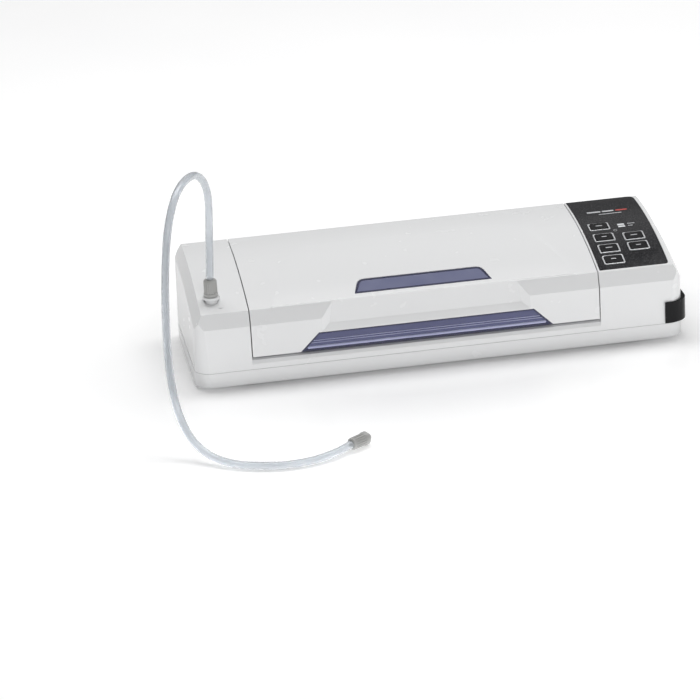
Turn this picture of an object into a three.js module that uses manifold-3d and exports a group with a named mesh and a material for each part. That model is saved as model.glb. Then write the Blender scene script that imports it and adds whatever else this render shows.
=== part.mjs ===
// A countertop vacuum sealer: a white casing with a hinged lid between two end blocks, a black key
// panel on the right block and a clear suction hose on the left one.
// Millimetres, +X to the right, +Y to the rear, +Z up. The origin is on the table under the middle.
import * as THREE from 'three';
import { mergeVertices } from 'three/addons/utils/BufferGeometryUtils.js';
import Module from 'manifold-3d';

const wasm = await Module();
wasm.setup();

// ---------------------------------------------------------------- driving dimensions
const GAP = 0.3; // clearance between pieces that touch
const WALL = 2.5; // wall of every moulded shell

const CASE = { left: -228.5, right: 225.6, front: -75, rear: 75, bottom: 3, corner: 16 };
const HIGH = 130; // a height above everything but the hose
const PARTING = 16.7; // height of the line between the tray and the casing
const DRAFT = 0.02; // front and rear walls lean in by this much per millimetre
const END_DRAFT = 0.03;
const BAND = { height: 13.6, endWidth: 6.8 }; // the bevelled band round the top
const CREASE = { y: -69.2, z: 72.0 }; // front edge of the top
const RIDGE = { y: 67, z: 93.0 }; // rear edge of the top
const TOP_BULGE = 6.3; // how far the top rises above the straight line between them
const TOP_STEPS = 14;

const LID = { left: -175.4, right: 145.7, bottom: 28.5, rearBottom: 76.5, backY: 6.5 };
const LID_GAP = 1.0;
const HINGE = { y: 64, z: 80, pinRadius: 2.5, left: -176, right: 146.2 };

const DECK_Z = 26.4; // the flat deck under the front of the lid
const REAR_BOX = { front: 8, top: 74, step: 54, rearTop: 69 };
const TROUGH = { x0: -150, x1: 120, y0: -52, y1: -20, bottom: 14, corner: 8 };

const PLATEAU = { rear: 25, rearHalf: 106, frontHalf: 141, rise: 2.2, frontRise: 1.3 };
const LID_MIDDLE = (LID.left + LID.right) / 2;
const UPPER_WINDOW = { rear: -44.5, front: -64, rearHalf: 57.3, frontHalf: 63.3, corner: 6 };
const LOWER_WINDOW = { top: 45.4, topHalf: 99.4, bottomHalf: 116.8 };
const MID_FRONT = { half: 84, taper: 22, lipTop: 52.4, lipBottom: 46, recess: 3.5 };

const PANEL = { x0: 148.6, x1: 213, y0: -67, y1: 66, thickness: 1.4, proud: 0.3 };
const KEY = { width: 19.6, depth: 13.4, rim: 1.2, travel: 1.0, proud: 1.7 };
const KEY_COLUMNS = [164.7, 192.5];
const KEYS = [
  { name: 'key_left_1', x: KEY_COLUMNS[0], y: 1.5 },
  { name: 'key_left_2', x: KEY_COLUMNS[0], y: -18.7 },
  { name: 'key_left_3', x: KEY_COLUMNS[0], y: -37 },
  { name: 'key_left_4', x: KEY_COLUMNS[0], y: -54.3 },
  { name: 'key_right_1', x: KEY_COLUMNS[1], y: -20.7 },
  { name: 'key_right_2', x: KEY_COLUMNS[1], y: -37.4 },
];
const LEDS = [
  { name: 'led_lens_upper', x: 185.8, y: 2.3 },
  { name: 'led_lens_lower', x: 185.8, y: -1.5 },
];
const LED_SIZE = { width: 6.5, depth: 2.7 };

const CORNER_BAND = { start: 207, top: 37.8, endY: -22, frontProud: 0.9, proud: 4.2 };

const PORT = { x: -207, y: -50, radius: 8, bore: 3.9, proud: 2.5 };
const HOSE = { radius: 3.5, sides: 10 };

// The hose leaves the plug upwards, arches over to the front, comes down on the table and lies there.
const HOSE_ROUTE = [
  [-207, -50, 99],
  [-206, -50, 116],
  [-205, -50.5, 137],
  [-204.2, -53, 157],
  [-204.2, -58.5, 176],
  [-206.8, -68.5, 193],
  [-212.5, -81.5, 206],
  [-220.5, -98, 214],
  [-230, -116, 215.5],
  [-238.8, -132, 211],
  [-246.3, -147, 200],
  [-252, -158.5, 184],
  [-256, -167, 163],
  [-259, -174, 138],
  [-261, -180, 112],
  [-262, -186, 86],
  [-261.5, -193, 61],
  [-258.5, -203.5, 38],
  [-251, -218, 19.5],
  [-238, -235, 8.5],
  [-219, -250.5, 4.3],
  [-196, -261, 3.9],
  [-172, -265, 3.9],
  [-150, -262, 4.2],
  [-131, -254, 5.2],
  [-116, -243.5, 6.3],
];

// ---------------------------------------------------------------- materials
function finish(color, roughness, metalness = 0, opacity = 1) {
  return new THREE.MeshStandardMaterial({ color, roughness, metalness, opacity, transparent: opacity < 1 });
}
const MATERIALS = {
  white: finish(0xf1f2f3, 0.28),
  blue: finish(0x50548c, 0.15, 0, 0.8),
  black: finish(0x17171a, 0.22),
  keyBlack: finish(0x1c1c1f, 0.4),
  chrome: finish(0xd9dadd, 0.22, 0.9),
  steel: finish(0xb6b9bd, 0.35, 0.9),
  lens: finish(0xf4f6f8, 0.2),
  rubber: finish(0x26272a, 0.8),
  foam: finish(0x3a3d42, 0.9),
  silicone: finish(0xc9ccd0, 0.6),
  tape: finish(0x9c7a4c, 0.55),
  board: finish(0x1f5a36, 0.5),
  greyPlastic: finish(0x8f9296, 0.45),
  motor: finish(0x7c8087, 0.35, 0.8),
  clearHose: finish(0xdfe6ec, 0.15, 0, 0.5),
};

// ---------------------------------------------------------------- solids from three.js geometries
function solid(geometry) {
  const bare = geometry.index ? geometry.toNonIndexed() : geometry.clone();
  bare.deleteAttribute('normal');
  bare.deleteAttribute('uv');
  const merged = mergeVertices(bare, 1e-4);
  return new wasm.Manifold(new wasm.Mesh({
    numProp: 3,
    vertProperties: new Float32Array(merged.attributes.position.array),
    triVerts: new Uint32Array(merged.index.array),
  }));
}

function toGeometry(manifold) {
  const mesh = manifold.getMesh();
  const geometry = new THREE.BufferGeometry();
  geometry.setAttribute('position', new THREE.BufferAttribute(new Float32Array(mesh.vertProperties), 3));
  geometry.setIndex(new THREE.BufferAttribute(new Uint32Array(mesh.triVerts), 1));
  geometry.computeVertexNormals();
  return geometry;
}

const group = new THREE.Group();

function piece(name, shape, material) {
  const geometry = shape.isBufferGeometry ? shape : toGeometry(shape);
  const mesh = new THREE.Mesh(geometry, material);
  mesh.name = name;
  group.add(mesh);
  return mesh;
}

function shapeOf(points) {
  return new THREE.Shape(points.map(([u, v]) => new THREE.Vector2(u, v)));
}

function extruded(shape, length, segments = 6) {
  return new THREE.ExtrudeGeometry(shape, { depth: length, bevelEnabled: false, curveSegments: segments });
}

// Points are [y, z] and the prism runs along X.
function prismX(points, x0, x1) {
  const geometry = extruded(shapeOf(points), x1 - x0);
  const axes = new THREE.Matrix4().makeBasis(
    new THREE.Vector3(0, 1, 0), new THREE.Vector3(0, 0, 1), new THREE.Vector3(1, 0, 0),
  );
  geometry.applyMatrix4(axes);
  geometry.translate(x0, 0, 0);
  return solid(geometry);
}

// Points are [x, z] and the prism runs along Y.
function prismY(points, y0, y1) {
  const geometry = extruded(shapeOf(points.map(([x, z]) => [x, z])), y1 - y0);
  geometry.rotateX(Math.PI / 2);
  geometry.translate(0, y1, 0);
  return solid(geometry);
}

// The shape lies in the XY plane and the prism runs along Z.
function prismZ(shape, z0, z1, segments = 6) {
  const geometry = extruded(shape instanceof THREE.Shape ? shape : shapeOf(shape), z1 - z0, segments);
  geometry.translate(0, 0, z0);
  return solid(geometry);
}

function box(x0, x1, y0, y1, z0, z1) {
  const geometry = new THREE.BoxGeometry(x1 - x0, y1 - y0, z1 - z0);
  geometry.translate((x0 + x1) / 2, (y0 + y1) / 2, (z0 + z1) / 2);
  return solid(geometry);
}

function roundedRect(x0, x1, y0, y1, radius) {
  const shape = new THREE.Shape();
  shape.absarc(x1 - radius, y0 + radius, radius, -Math.PI / 2, 0);
  shape.absarc(x1 - radius, y1 - radius, radius, 0, Math.PI / 2);
  shape.absarc(x0 + radius, y1 - radius, radius, Math.PI / 2, Math.PI);
  shape.absarc(x0 + radius, y0 + radius, radius, Math.PI, Math.PI * 1.5);
  return shape;
}

function cylinderX(radius, x0, x1, y, z, sides = 20) {
  const geometry = new THREE.CylinderGeometry(radius, radius, x1 - x0, sides);
  geometry.rotateZ(Math.PI / 2);
  geometry.translate((x0 + x1) / 2, y, z);
  return solid(geometry);
}

function cylinderZ(radius, x, y, z0, z1, sides = 20) {
  const geometry = new THREE.CylinderGeometry(radius, radius, z1 - z0, sides);
  geometry.rotateX(Math.PI / 2);
  geometry.translate(x, y, (z0 + z1) / 2);
  return solid(geometry);
}

// Profile points are [radius, z], turned round the Z axis and moved to x, y.
function turned(profile, x, y, sides = 24) {
  const geometry = new THREE.LatheGeometry(profile.map(([r, z]) => new THREE.Vector2(r, z)), sides);
  geometry.rotateX(Math.PI / 2);
  geometry.translate(x, y, 0);
  return geometry;
}

// ---------------------------------------------------------------- the outline of the casing
function topZ(y) {
  const s = (y - CREASE.y) / (RIDGE.y - CREASE.y);
  return CREASE.z + (RIDGE.z - CREASE.z) * s + 4 * TOP_BULGE * s * (1 - s);
}

function topSlope(y) {
  const s = (y - CREASE.y) / (RIDGE.y - CREASE.y);
  return (RIDGE.z - CREASE.z + 4 * TOP_BULGE * (1 - 2 * s)) / (RIDGE.y - CREASE.y);
}

// The top is faceted at the same places in every piece, so that their facets stay parallel.
function topStations(y0, y1) {
  const step = (RIDGE.y - CREASE.y) / TOP_STEPS;
  const stations = [y0];
  for (let i = -2; i <= TOP_STEPS + 2; i += 1) {
    const y = CREASE.y + i * step;
    if (y > y0 + 0.5 && y < y1 - 0.5) {
      stations.push(y);
    }
  }
  stations.push(y1);
  return stations;
}

function topLine(y0, y1, offset) {
  const rise = typeof offset === 'function' ? offset : () => offset;
  return topStations(y0, y1).map((y) => [y, topZ(y) + rise(y)]);
}

// A strip of constant depth that follows the top, between two offsets from it.
function topStrip(y0, y1, lower, upper) {
  return [...topLine(y0, y1, lower), ...topLine(y0, y1, upper).reverse()];
}

const frontWall = (z) => CASE.front + DRAFT * (z - CASE.bottom);
const rearWall = (z) => CASE.rear - DRAFT * (z - CASE.bottom);
const FRONT_BAND_BOTTOM = CREASE.z - BAND.height;
const REAR_BAND_BOTTOM = RIDGE.z - BAND.height;

// The side view of the casing, moved inwards by inset, from bottom upwards.
function casingSection(inset, bottom) {
  return [
    [frontWall(bottom) + inset, bottom],
    [frontWall(FRONT_BAND_BOTTOM) + inset, FRONT_BAND_BOTTOM - inset * 0.3],
    ...topLine(CREASE.y + inset * 0.9, RIDGE.y - inset * 0.9, -inset),
    [rearWall(REAR_BAND_BOTTOM) - inset, REAR_BAND_BOTTOM - inset * 0.3],
    [rearWall(bottom) - inset, bottom],
  ].reverse();
}

// Everything above the bevel of one end block. side is -1 for the left end and 1 for the right end.
function endBevel(side, inset) {
  const end = side < 0 ? CASE.left : CASE.right;
  const lean = END_DRAFT * (RIDGE.z - CASE.bottom);
  const crease = end - side * (BAND.endWidth + lean * 0.75 + inset * 0.9);
  const reach = 30;
  const above = [...topLine(-90, 90, -inset), [90, 140], [-90, 140]];
  const geometry = extruded(shapeOf(above), reach);
  const fall = BAND.height / BAND.endWidth;
  const place = new THREE.Matrix4().set(
    0, 0, side, crease,
    1, 0, 0, 0,
    0, 1, -fall, 0,
    0, 0, 0, 1,
  );
  geometry.applyMatrix4(place);
  if (side < 0) {
    flipFaces(geometry);
  }
  return solid(geometry);
}

// A mirrored geometry has its faces inside out until each triangle is turned round.
function flipFaces(geometry) {
  const position = geometry.attributes.position;
  const a = new THREE.Vector3();
  const b = new THREE.Vector3();
  for (let i = 0; i < position.count; i += 3) {
    a.fromBufferAttribute(position, i + 1);
    b.fromBufferAttribute(position, i + 2);
    position.setXYZ(i + 1, b.x, b.y, b.z);
    position.setXYZ(i + 2, a.x, a.y, a.z);
  }
}

// The whole outer body as one block, moved inwards by inset.
function casingBlock(inset, bottom) {
  const x0 = CASE.left + inset;
  const x1 = CASE.right - inset;
  const lean = END_DRAFT * (HIGH - CASE.bottom);
  const ends = [[x0, CASE.bottom], [x1, CASE.bottom], [x1 - lean, HIGH], [x0 + lean, HIGH]];
  const plan = roundedRect(x0, x1, CASE.front + inset, CASE.rear - inset, CASE.corner - inset);
  return prismX(casingSection(inset, bottom), x0, x1)
    .intersect(prismZ(plan, CASE.bottom, HIGH))
    .intersect(prismY(ends, -100, 100))
    .subtract(endBevel(-1, inset))
    .subtract(endBevel(1, inset));
}

// ---------------------------------------------------------------- tray, feet and screws
const SCREW_PLACES = [[-200, -58], [-200, 58], [211, -52], [213, 56]];
const SCREW = { headRadius: 3.4, shankRadius: 1.5, postRadius: 4.6 };

function buildTray() {
  const outer = roundedRect(CASE.left, CASE.right, CASE.front, CASE.rear, CASE.corner);
  const inner = roundedRect(
    CASE.left + WALL, CASE.right - WALL, CASE.front + WALL, CASE.rear - WALL, CASE.corner - WALL,
  );
  const floorTop = CASE.bottom + WALL;
  const rim = PARTING - GAP / 2;
  let tray = prismZ(outer, CASE.bottom, rim).subtract(prismZ(inner, floorTop, rim + 1));
  tray = tray.intersect(prismX(casingSection(0, CASE.bottom), CASE.left, CASE.right));
  for (const [x, y] of SCREW_PLACES) {
    tray = tray.add(cylinderZ(SCREW.postRadius, x, y, floorTop - 0.5, 13, 16));
    tray = tray.subtract(cylinderZ(SCREW.headRadius + 0.4, x, y, CASE.bottom - 1, 6.6, 16));
    tray = tray.subtract(cylinderZ(SCREW.shankRadius + GAP, x, y, CASE.bottom, 20, 12));
  }
  piece('base_tray', tray, MATERIALS.white);
}

function buildScrewsAndFeet() {
  const names = ['front_left', 'rear_left', 'front_right', 'rear_right'];
  SCREW_PLACES.forEach(([x, y], i) => {
    const profile = [
      [0, 3.6], [SCREW.headRadius, 3.6], [SCREW.headRadius, 6.2],
      [SCREW.shankRadius, 6.2], [SCREW.shankRadius, 24], [0, 24],
    ];
    piece(`housing_screw_${names[i]}`, turned(profile, x, y, 12), MATERIALS.steel);
  });
  const feet = [[-180, -58], [-180, 58], [178, -58], [178, 58]];
  feet.forEach(([x, y], i) => {
    const profile = [[0, 0], [7.2, 0], [8, 0.9], [8, CASE.bottom - GAP], [0, CASE.bottom - GAP]];
    piece(`foot_${names[i]}`, turned(profile, x, y, 20), MATERIALS.rubber);
  });
}

// ---------------------------------------------------------------- upper housing
// The side view of the housing between the two blocks: the deck, and the raised box at the rear.
function deckSection(inset, bottom) {
  const shoulder = 4.5;
  return [
    [frontWall(bottom) + inset, bottom],
    [frontWall(DECK_Z - shoulder) + inset, DECK_Z - shoulder - inset * 0.4],
    [frontWall(DECK_Z) + 1.2 + inset * 0.9, DECK_Z - 1.3 - inset * 0.7],
    [frontWall(DECK_Z) + shoulder + inset * 0.4, DECK_Z - inset],
    [REAR_BOX.front + inset, DECK_Z - inset],
    [REAR_BOX.front + inset, REAR_BOX.top - inset],
    [REAR_BOX.step - inset * 0.5, REAR_BOX.top - inset],
    [REAR_BOX.step + 3 - inset * 0.5, REAR_BOX.rearTop - inset],
    [rearWall(REAR_BOX.rearTop) - inset, REAR_BOX.rearTop - inset],
    [rearWall(bottom) - inset, bottom],
  ].reverse();
}

function keyFrameAt(x, y, offset = 0) {
  const slope = Math.atan(topSlope(y));
  return new THREE.Matrix4()
    .makeTranslation(x, y - offset * Math.sin(slope), topZ(y) + offset * Math.cos(slope))
    .multiply(new THREE.Matrix4().makeRotationX(slope));
}

// A block centred on a point of the top and turned with it. z0 and z1 count from the surface.
function blockOnTop(x, y, width, depth, z0, z1, corner = 1.2) {
  const outline = roundedRect(-width / 2, width / 2, -depth / 2, depth / 2, corner);
  const geometry = extruded(outline, z1 - z0, 3);
  geometry.translate(0, 0, z0);
  geometry.applyMatrix4(keyFrameAt(x, y));
  return geometry;
}

function buildHousing() {
  const bottom = PARTING + GAP / 2;
  const lidRoom = box(LID.left - LID_GAP, LID.right + LID_GAP, -100, 100, DECK_Z - 10, HIGH)
    .subtract(prismX(deckSection(0, bottom - 1), CASE.left, CASE.right));
  let shell = casingBlock(0, bottom).subtract(lidRoom);
  const leftRoom = box(-300, LID.left - LID_GAP - WALL, -100, 100, 0, HIGH);
  const rightRoom = box(LID.right + LID_GAP + WALL, 300, -100, 100, 0, HIGH);
  const hollow = casingBlock(WALL, bottom - 1)
    .intersect(leftRoom.add(rightRoom))
    .add(prismX(deckSection(WALL, bottom - 1), LID.left - 20, LID.right + 20));
  shell = shell.subtract(hollow);

  const troughWall = roundedRect(
    TROUGH.x0 - 2, TROUGH.x1 + 2, TROUGH.y0 - 2, TROUGH.y1 + 2, TROUGH.corner + 2,
  );
  const troughRoom = roundedRect(TROUGH.x0, TROUGH.x1, TROUGH.y0, TROUGH.y1, TROUGH.corner);
  shell = shell.add(prismZ(troughWall, TROUGH.bottom - 2, DECK_Z - 0.5, 4));
  shell = shell.subtract(prismZ(troughRoom, TROUGH.bottom, DECK_Z + 1, 4));
  shell = shell.subtract(cylinderZ(3.3, SUCTION.x, SUCTION.y, 5, TROUGH.bottom + 1, 16));

  for (const [x, y] of SCREW_PLACES) {
    const boss = cylinderZ(SCREW.postRadius, x, y, bottom, topZ(y) - 1, 16);
    shell = shell.add(boss.subtract(cylinderZ(SCREW.shankRadius + GAP, x, y, 5, 30, 12)));
  }
  shell = shell.subtract(cylinderX(HINGE.pinRadius + GAP, LID.left - 8, LID.right + 8, HINGE.y, HINGE.z));
  shell = shell.subtract(panelPlate(GAP, -PANEL.thickness - GAP, 4));
  const keyRoom = prismX(topStrip(-66, 13, -6, 4), 151.6, 205.4);
  shell = shell.subtract(keyRoom);
  shell = shell.subtract(cylinderZ(PORT.radius - 1.7, PORT.x, PORT.y, 60, 100, 24));
  shell = shell.subtract(box(INLET.x - 13.3, INLET.x + 13.3, 60, 90, INLET.z - 9.3, INLET.z + 9.3));
  piece('upper_housing', shell, MATERIALS.white);
}

// ---------------------------------------------------------------- control panel
// The overlay's outline, grown by grow, between two offsets from the top surface.
function panelPlate(grow, lower, upper) {
  const plan = new THREE.Shape();
  const x0 = PANEL.x0 - grow;
  const x1 = PANEL.x1 + grow;
  const y0 = PANEL.y0 - grow;
  const y1 = PANEL.y1 + grow;
  plan.moveTo(x0, y0);
  plan.lineTo(x1 - 3, y0);
  plan.absarc(x1 - 3, y0 + 3, 3, -Math.PI / 2, 0);
  plan.absarc(x1 - 6, y1 - 6, 6, 0, Math.PI / 2);
  plan.lineTo(x0, y1);
  return prismX(topStrip(-80, 80, lower, upper), 140, 220).intersect(prismZ(plan, 40, 120, 4));
}

function buildPanel() {
  let overlay = panelPlate(0, -PANEL.thickness, PANEL.proud);
  let frame = prismX(topStrip(-65, 12, -3.4, -PANEL.thickness - GAP), 152, 205);
  for (const key of KEYS) {
    const room = blockOnTop(key.x, key.y, KEY.width + 2 * GAP, KEY.depth + 2 * GAP, -6, 6);
    overlay = overlay.subtract(solid(room));
    frame = frame.add(solid(blockOnTop(key.x, key.y, KEY.width, KEY.depth, -3, 0.9)));
  }
  for (const key of KEYS) {
    const hole = blockOnTop(key.x, key.y, KEY.width - 2 * KEY.rim, KEY.depth - 2 * KEY.rim, -8, 6, 0.8);
    frame = frame.subtract(solid(hole));
  }
  for (const led of LEDS) {
    const room = blockOnTop(led.x, led.y, LED_SIZE.width + 0.6, LED_SIZE.depth + 0.6, -6, 6, 0.4);
    overlay = overlay.subtract(solid(room));
    const lens = blockOnTop(led.x, led.y, LED_SIZE.width, LED_SIZE.depth, -1.1, 0.5, 0.3);
    piece(led.name, lens, MATERIALS.lens);
  }
  piece('control_panel', overlay, MATERIALS.black);
  piece('key_frame', frame, MATERIALS.chrome);
  const width = KEY.width - 2 * KEY.rim - 2 * GAP;
  const depth = KEY.depth - 2 * KEY.rim - 2 * GAP;
  for (const key of KEYS) {
    const cap = blockOnTop(key.x, key.y, width, depth, -6, KEY.proud, 0.6);
    piece(key.name, cap, MATERIALS.keyBlack);
  }
}

function buildCircuitBoard() {
  const depth = 78;
  const middleY = -26;
  const board = new THREE.BoxGeometry(52, depth, 1.6);
  let shape = solid(board);
  const tilt = Math.atan(topSlope(middleY));
  const place = new THREE.Matrix4()
    .makeTranslation(179, middleY, topZ(middleY) - 15.5)
    .multiply(new THREE.Matrix4().makeRotationX(tilt));
  const inverse = place.clone().invert();
  for (const key of KEYS) {
    const spot = new THREE.Vector3(key.x, key.y, topZ(key.y) - 7.9).applyMatrix4(inverse);
    const height = spot.z - 0.5;
    const button = new THREE.BoxGeometry(6, 6, height);
    button.translate(spot.x, spot.y, 0.5 + height / 2);
    shape = shape.add(solid(button));
  }
  const geometry = toGeometry(shape);
  geometry.applyMatrix4(place);
  piece('circuit_board', geometry, MATERIALS.board);
}

// ---------------------------------------------------------------- sealing parts on the deck
const SUCTION = { x: 96, y: -36 };
const GASKET = { x0: -157, x1: 127, y0: -58, y1: -14, corner: 13, width: 4 };
const SEAL_LINE = { x0: -165, x1: 135, y: -64.5 };

function ring(grow, z0, z1) {
  const g = GASKET;
  const outer = roundedRect(g.x0 - grow, g.x1 + grow, g.y0 - grow, g.y1 + grow, g.corner + grow);
  const w = g.width;
  const hole = roundedRect(g.x0 + w - grow, g.x1 - w + grow, g.y0 + w - grow, g.y1 - w + grow, g.corner - w);
  outer.holes.push(new THREE.Path(hole.getPoints(4)));
  const geometry = extruded(outer, z1 - z0, 4);
  geometry.translate(0, 0, z0);
  return geometry;
}

function barStrip(halfWidth, z0, z1, shorter = 0) {
  const { x0, x1, y } = SEAL_LINE;
  const plan = roundedRect(x0 + shorter, x1 - shorter, y - halfWidth, y + halfWidth, halfWidth * 0.5);
  const geometry = extruded(plan, z1 - z0, 3);
  geometry.translate(0, 0, z0);
  return geometry;
}

function buildSealingParts() {
  piece('lower_gasket', ring(0, DECK_Z + GAP, DECK_Z + 1.6), MATERIALS.foam);
  piece('sealing_bar', barStrip(4, DECK_Z + GAP, DECK_Z + 0.9), MATERIALS.greyPlastic);
  piece('heater_strip', barStrip(1.4, DECK_Z + 1.2, DECK_Z + 1.5, 3), MATERIALS.steel);
  piece('bar_tape', barStrip(3.6, DECK_Z + 1.8, DECK_Z + 2.1, 1), MATERIALS.tape);
  piece('upper_gasket', ring(0, DECK_Z + 1.9, PRESS_Z - GAP), MATERIALS.foam);
  piece('pressure_strip', barStrip(2.6, DECK_Z + 2.4, PRESS_Z - GAP, 1), MATERIALS.silicone);
  const nozzle = [[0, 8], [3, 8], [3, 14.3], [5, 14.3], [5, 16], [1.6, 17.2], [0, 17.2]];
  piece('suction_nozzle', turned(nozzle, SUCTION.x, SUCTION.y, 16), MATERIALS.greyPlastic);
}

// ---------------------------------------------------------------- lid
const PRESS_Z = 30; // underside of the pressing plate

function lidSection(inset, low) {
  return [
    [frontWall(LID.bottom) + inset, low],
    [frontWall(FRONT_BAND_BOTTOM) + inset, FRONT_BAND_BOTTOM - inset * 0.3],
    ...topLine(CREASE.y + inset * 0.9, RIDGE.y - inset * 0.9, -inset),
    [rearWall(REAR_BAND_BOTTOM) - inset, REAR_BAND_BOTTOM - inset * 0.3],
  ];
}

function plateauRise(y) {
  const s = (y - CREASE.y) / (PLATEAU.rear - CREASE.y);
  return PLATEAU.frontRise + (PLATEAU.rise - PLATEAU.frontRise) * Math.min(1, Math.max(0, s * 2));
}

// A symmetric outline about the middle of the lid, wide at the front, with rounded rear corners.
function flaredPlan(rear, front, rearHalf, frontHalf, corner, frontCorner, grow = 0) {
  const plan = new THREE.Shape();
  const m = LID_MIDDLE;
  const spread = (frontHalf - rearHalf) / (rear - front);
  const r = corner + grow;
  const y1 = rear + grow;
  const y0 = front - grow;
  const w1 = rearHalf + grow;
  const w0 = frontHalf + grow;
  const f = frontCorner + grow;
  plan.moveTo(m - w0 + f, y0);
  plan.lineTo(m + w0 - f, y0);
  plan.quadraticCurveTo(m + w0, y0, m + w0 - spread * f, y0 + f);
  plan.lineTo(m + w1 + spread * r, y1 - r);
  plan.quadraticCurveTo(m + w1, y1, m + w1 - r, y1);
  plan.lineTo(m - w1 + r, y1);
  plan.quadraticCurveTo(m - w1, y1, m - w1 - spread * r, y1 - r);
  plan.lineTo(m - w0 + spread * f, y0 + f);
  plan.quadraticCurveTo(m - w0, y0, m - w0 + f, y0);
  return plan;
}

function plateauBlock() {
  const p = PLATEAU;
  const plan = flaredPlan(p.rear, CREASE.y, p.rearHalf, p.frontHalf, 22, 0.5);
  const layer = prismX(topStrip(CREASE.y, p.rear + 2, -1, plateauRise), LID.left, LID.right);
  return layer.intersect(prismZ(plan, 50, 120, 5));
}

function upperWindowPlan(grow) {
  const w = UPPER_WINDOW;
  return flaredPlan(w.rear, w.front, w.rearHalf, w.frontHalf, w.corner, 1.5, grow);
}

function lowerWindowBlock(grow, y0, y1, low) {
  const w = LOWER_WINDOW;
  const m = LID_MIDDLE;
  const spread = (w.bottomHalf - w.topHalf) / (w.top - LID.bottom);
  const wide = w.bottomHalf + spread * (LID.bottom - low) + grow;
  return prismY([
    [m - wide, low],
    [m + wide, low],
    [m + w.topHalf + grow, w.top + grow],
    [m - w.topHalf - grow, w.top + grow],
  ], y0, y1);
}

// The hollow over the lower window, between the crease and the lip, with sloping ends.
function midFrontCut() {
  const f = MID_FRONT;
  const m = LID_MIDDLE;
  const face = frontWall(f.lipBottom);
  const section = [
    [CREASE.y, CREASE.z + 4],
    [CREASE.y, CREASE.z],
    [face + f.recess, f.lipTop],
    [face, f.lipBottom],
    [face - 10, f.lipBottom],
    [face - 10, CREASE.z + 4],
  ];
  const ends = [
    [m - f.half - f.taper, CREASE.y - 9], [m + f.half + f.taper, CREASE.y - 9],
    [m + f.half, CREASE.y + 0.5], [m - f.half, CREASE.y + 0.5],
  ];
  return prismX(section.reverse(), m - 130, m + 130).intersect(prismZ(ends, 30, 90));
}

function midFrontBacking(grow) {
  const f = MID_FRONT;
  const m = LID_MIDDLE;
  const reach = f.half + f.taper + 4 + grow;
  const face = frontWall(f.lipBottom);
  const section = [
    [face + 1, 45.9 - grow],
    [face + 1, FRONT_BAND_BOTTOM],
    [CREASE.y + 1, CREASE.z - 1],
    [CREASE.y + 4 + grow, CREASE.z - 1],
    [face + f.recess + WALL + grow, f.lipTop],
    [face + f.recess + WALL + grow, 45.9 - grow],
  ];
  return prismX(section.reverse(), m - reach, m + reach);
}

function buildLidCover() {
  const outer = [
    ...lidSection(0, LID.bottom),
    [rearWall(LID.rearBottom), LID.rearBottom],
    [LID.backY, LID.rearBottom],
    [LID.backY, LID.bottom],
  ].reverse();
  const inner = [...lidSection(WALL, 10), [rearWall(70) - WALL, 10]].reverse();
  let cover = prismX(outer, LID.left, LID.right)
    .subtract(prismX(inner, LID.left + WALL, LID.right - WALL))
    .add(midFrontBacking(0).intersect(prismX(outer, LID.left, LID.right)))
    .add(plateauBlock())
    .subtract(midFrontCut())
    .subtract(prismZ(upperWindowPlan(0), 60, 120, 3))
    .subtract(lowerWindowBlock(0, -90, CREASE.y + 1.5, 20));
  for (const side of [-1, 1]) {
    const end = side < 0 ? LID.left : LID.right - 6;
    cover = cover.add(cylinderX(5.5, end, end + 6, HINGE.y, HINGE.z, 20));
  }
  cover = cover.subtract(cylinderX(HINGE.pinRadius + GAP, -200, 200, HINGE.y, HINGE.z));
  piece('lid_cover', cover, MATERIALS.white);
}

function buildLidInnerShell() {
  const skin = WALL + GAP;
  const deep = skin + WALL;
  const back = LID.backY - 0.5;
  const section = [
    [frontWall(PRESS_Z) + skin, PRESS_Z],
    [frontWall(FRONT_BAND_BOTTOM) + skin, FRONT_BAND_BOTTOM - skin * 0.3],
    ...topLine(CREASE.y + skin * 0.9, back, -skin),
    ...topLine(CREASE.y + deep * 0.9, back, -deep).reverse(),
    [frontWall(FRONT_BAND_BOTTOM) + deep, FRONT_BAND_BOTTOM - deep * 0.3],
    [frontWall(PRESS_Z) + deep, PRESS_Z + WALL],
    [back, PRESS_Z + WALL],
    [back, PRESS_Z],
  ].reverse();
  const x0 = LID.left + skin;
  const x1 = LID.right - skin;
  const upperLand = prismX(topStrip(-70, -40, -skin - 1, (y) => plateauRise(y) - 0.4), x0, x1)
    .intersect(prismZ(upperWindowPlan(-GAP), 50, 120, 3));
  const lowerLand = lowerWindowBlock(-GAP, frontWall(40) + 0.5, frontWall(40) + skin + 1, PRESS_Z);
  const shell = prismX(section, x0, x1)
    .subtract(midFrontBacking(GAP))
    .add(upperLand)
    .add(lowerLand);
  piece('lid_inner_shell', shell, MATERIALS.blue);
}

function buildHingePins() {
  for (const [name, x] of [['left', HINGE.left], ['right', HINGE.right]]) {
    const pin = cylinderX(HINGE.pinRadius, x - 6.5, x + 6.5, HINGE.y, HINGE.z);
    piece(`hinge_pin_${name}`, pin, MATERIALS.steel);
  }
}

// ---------------------------------------------------------------- working parts inside
const INLET = { x: 188, z: 36 };

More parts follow.
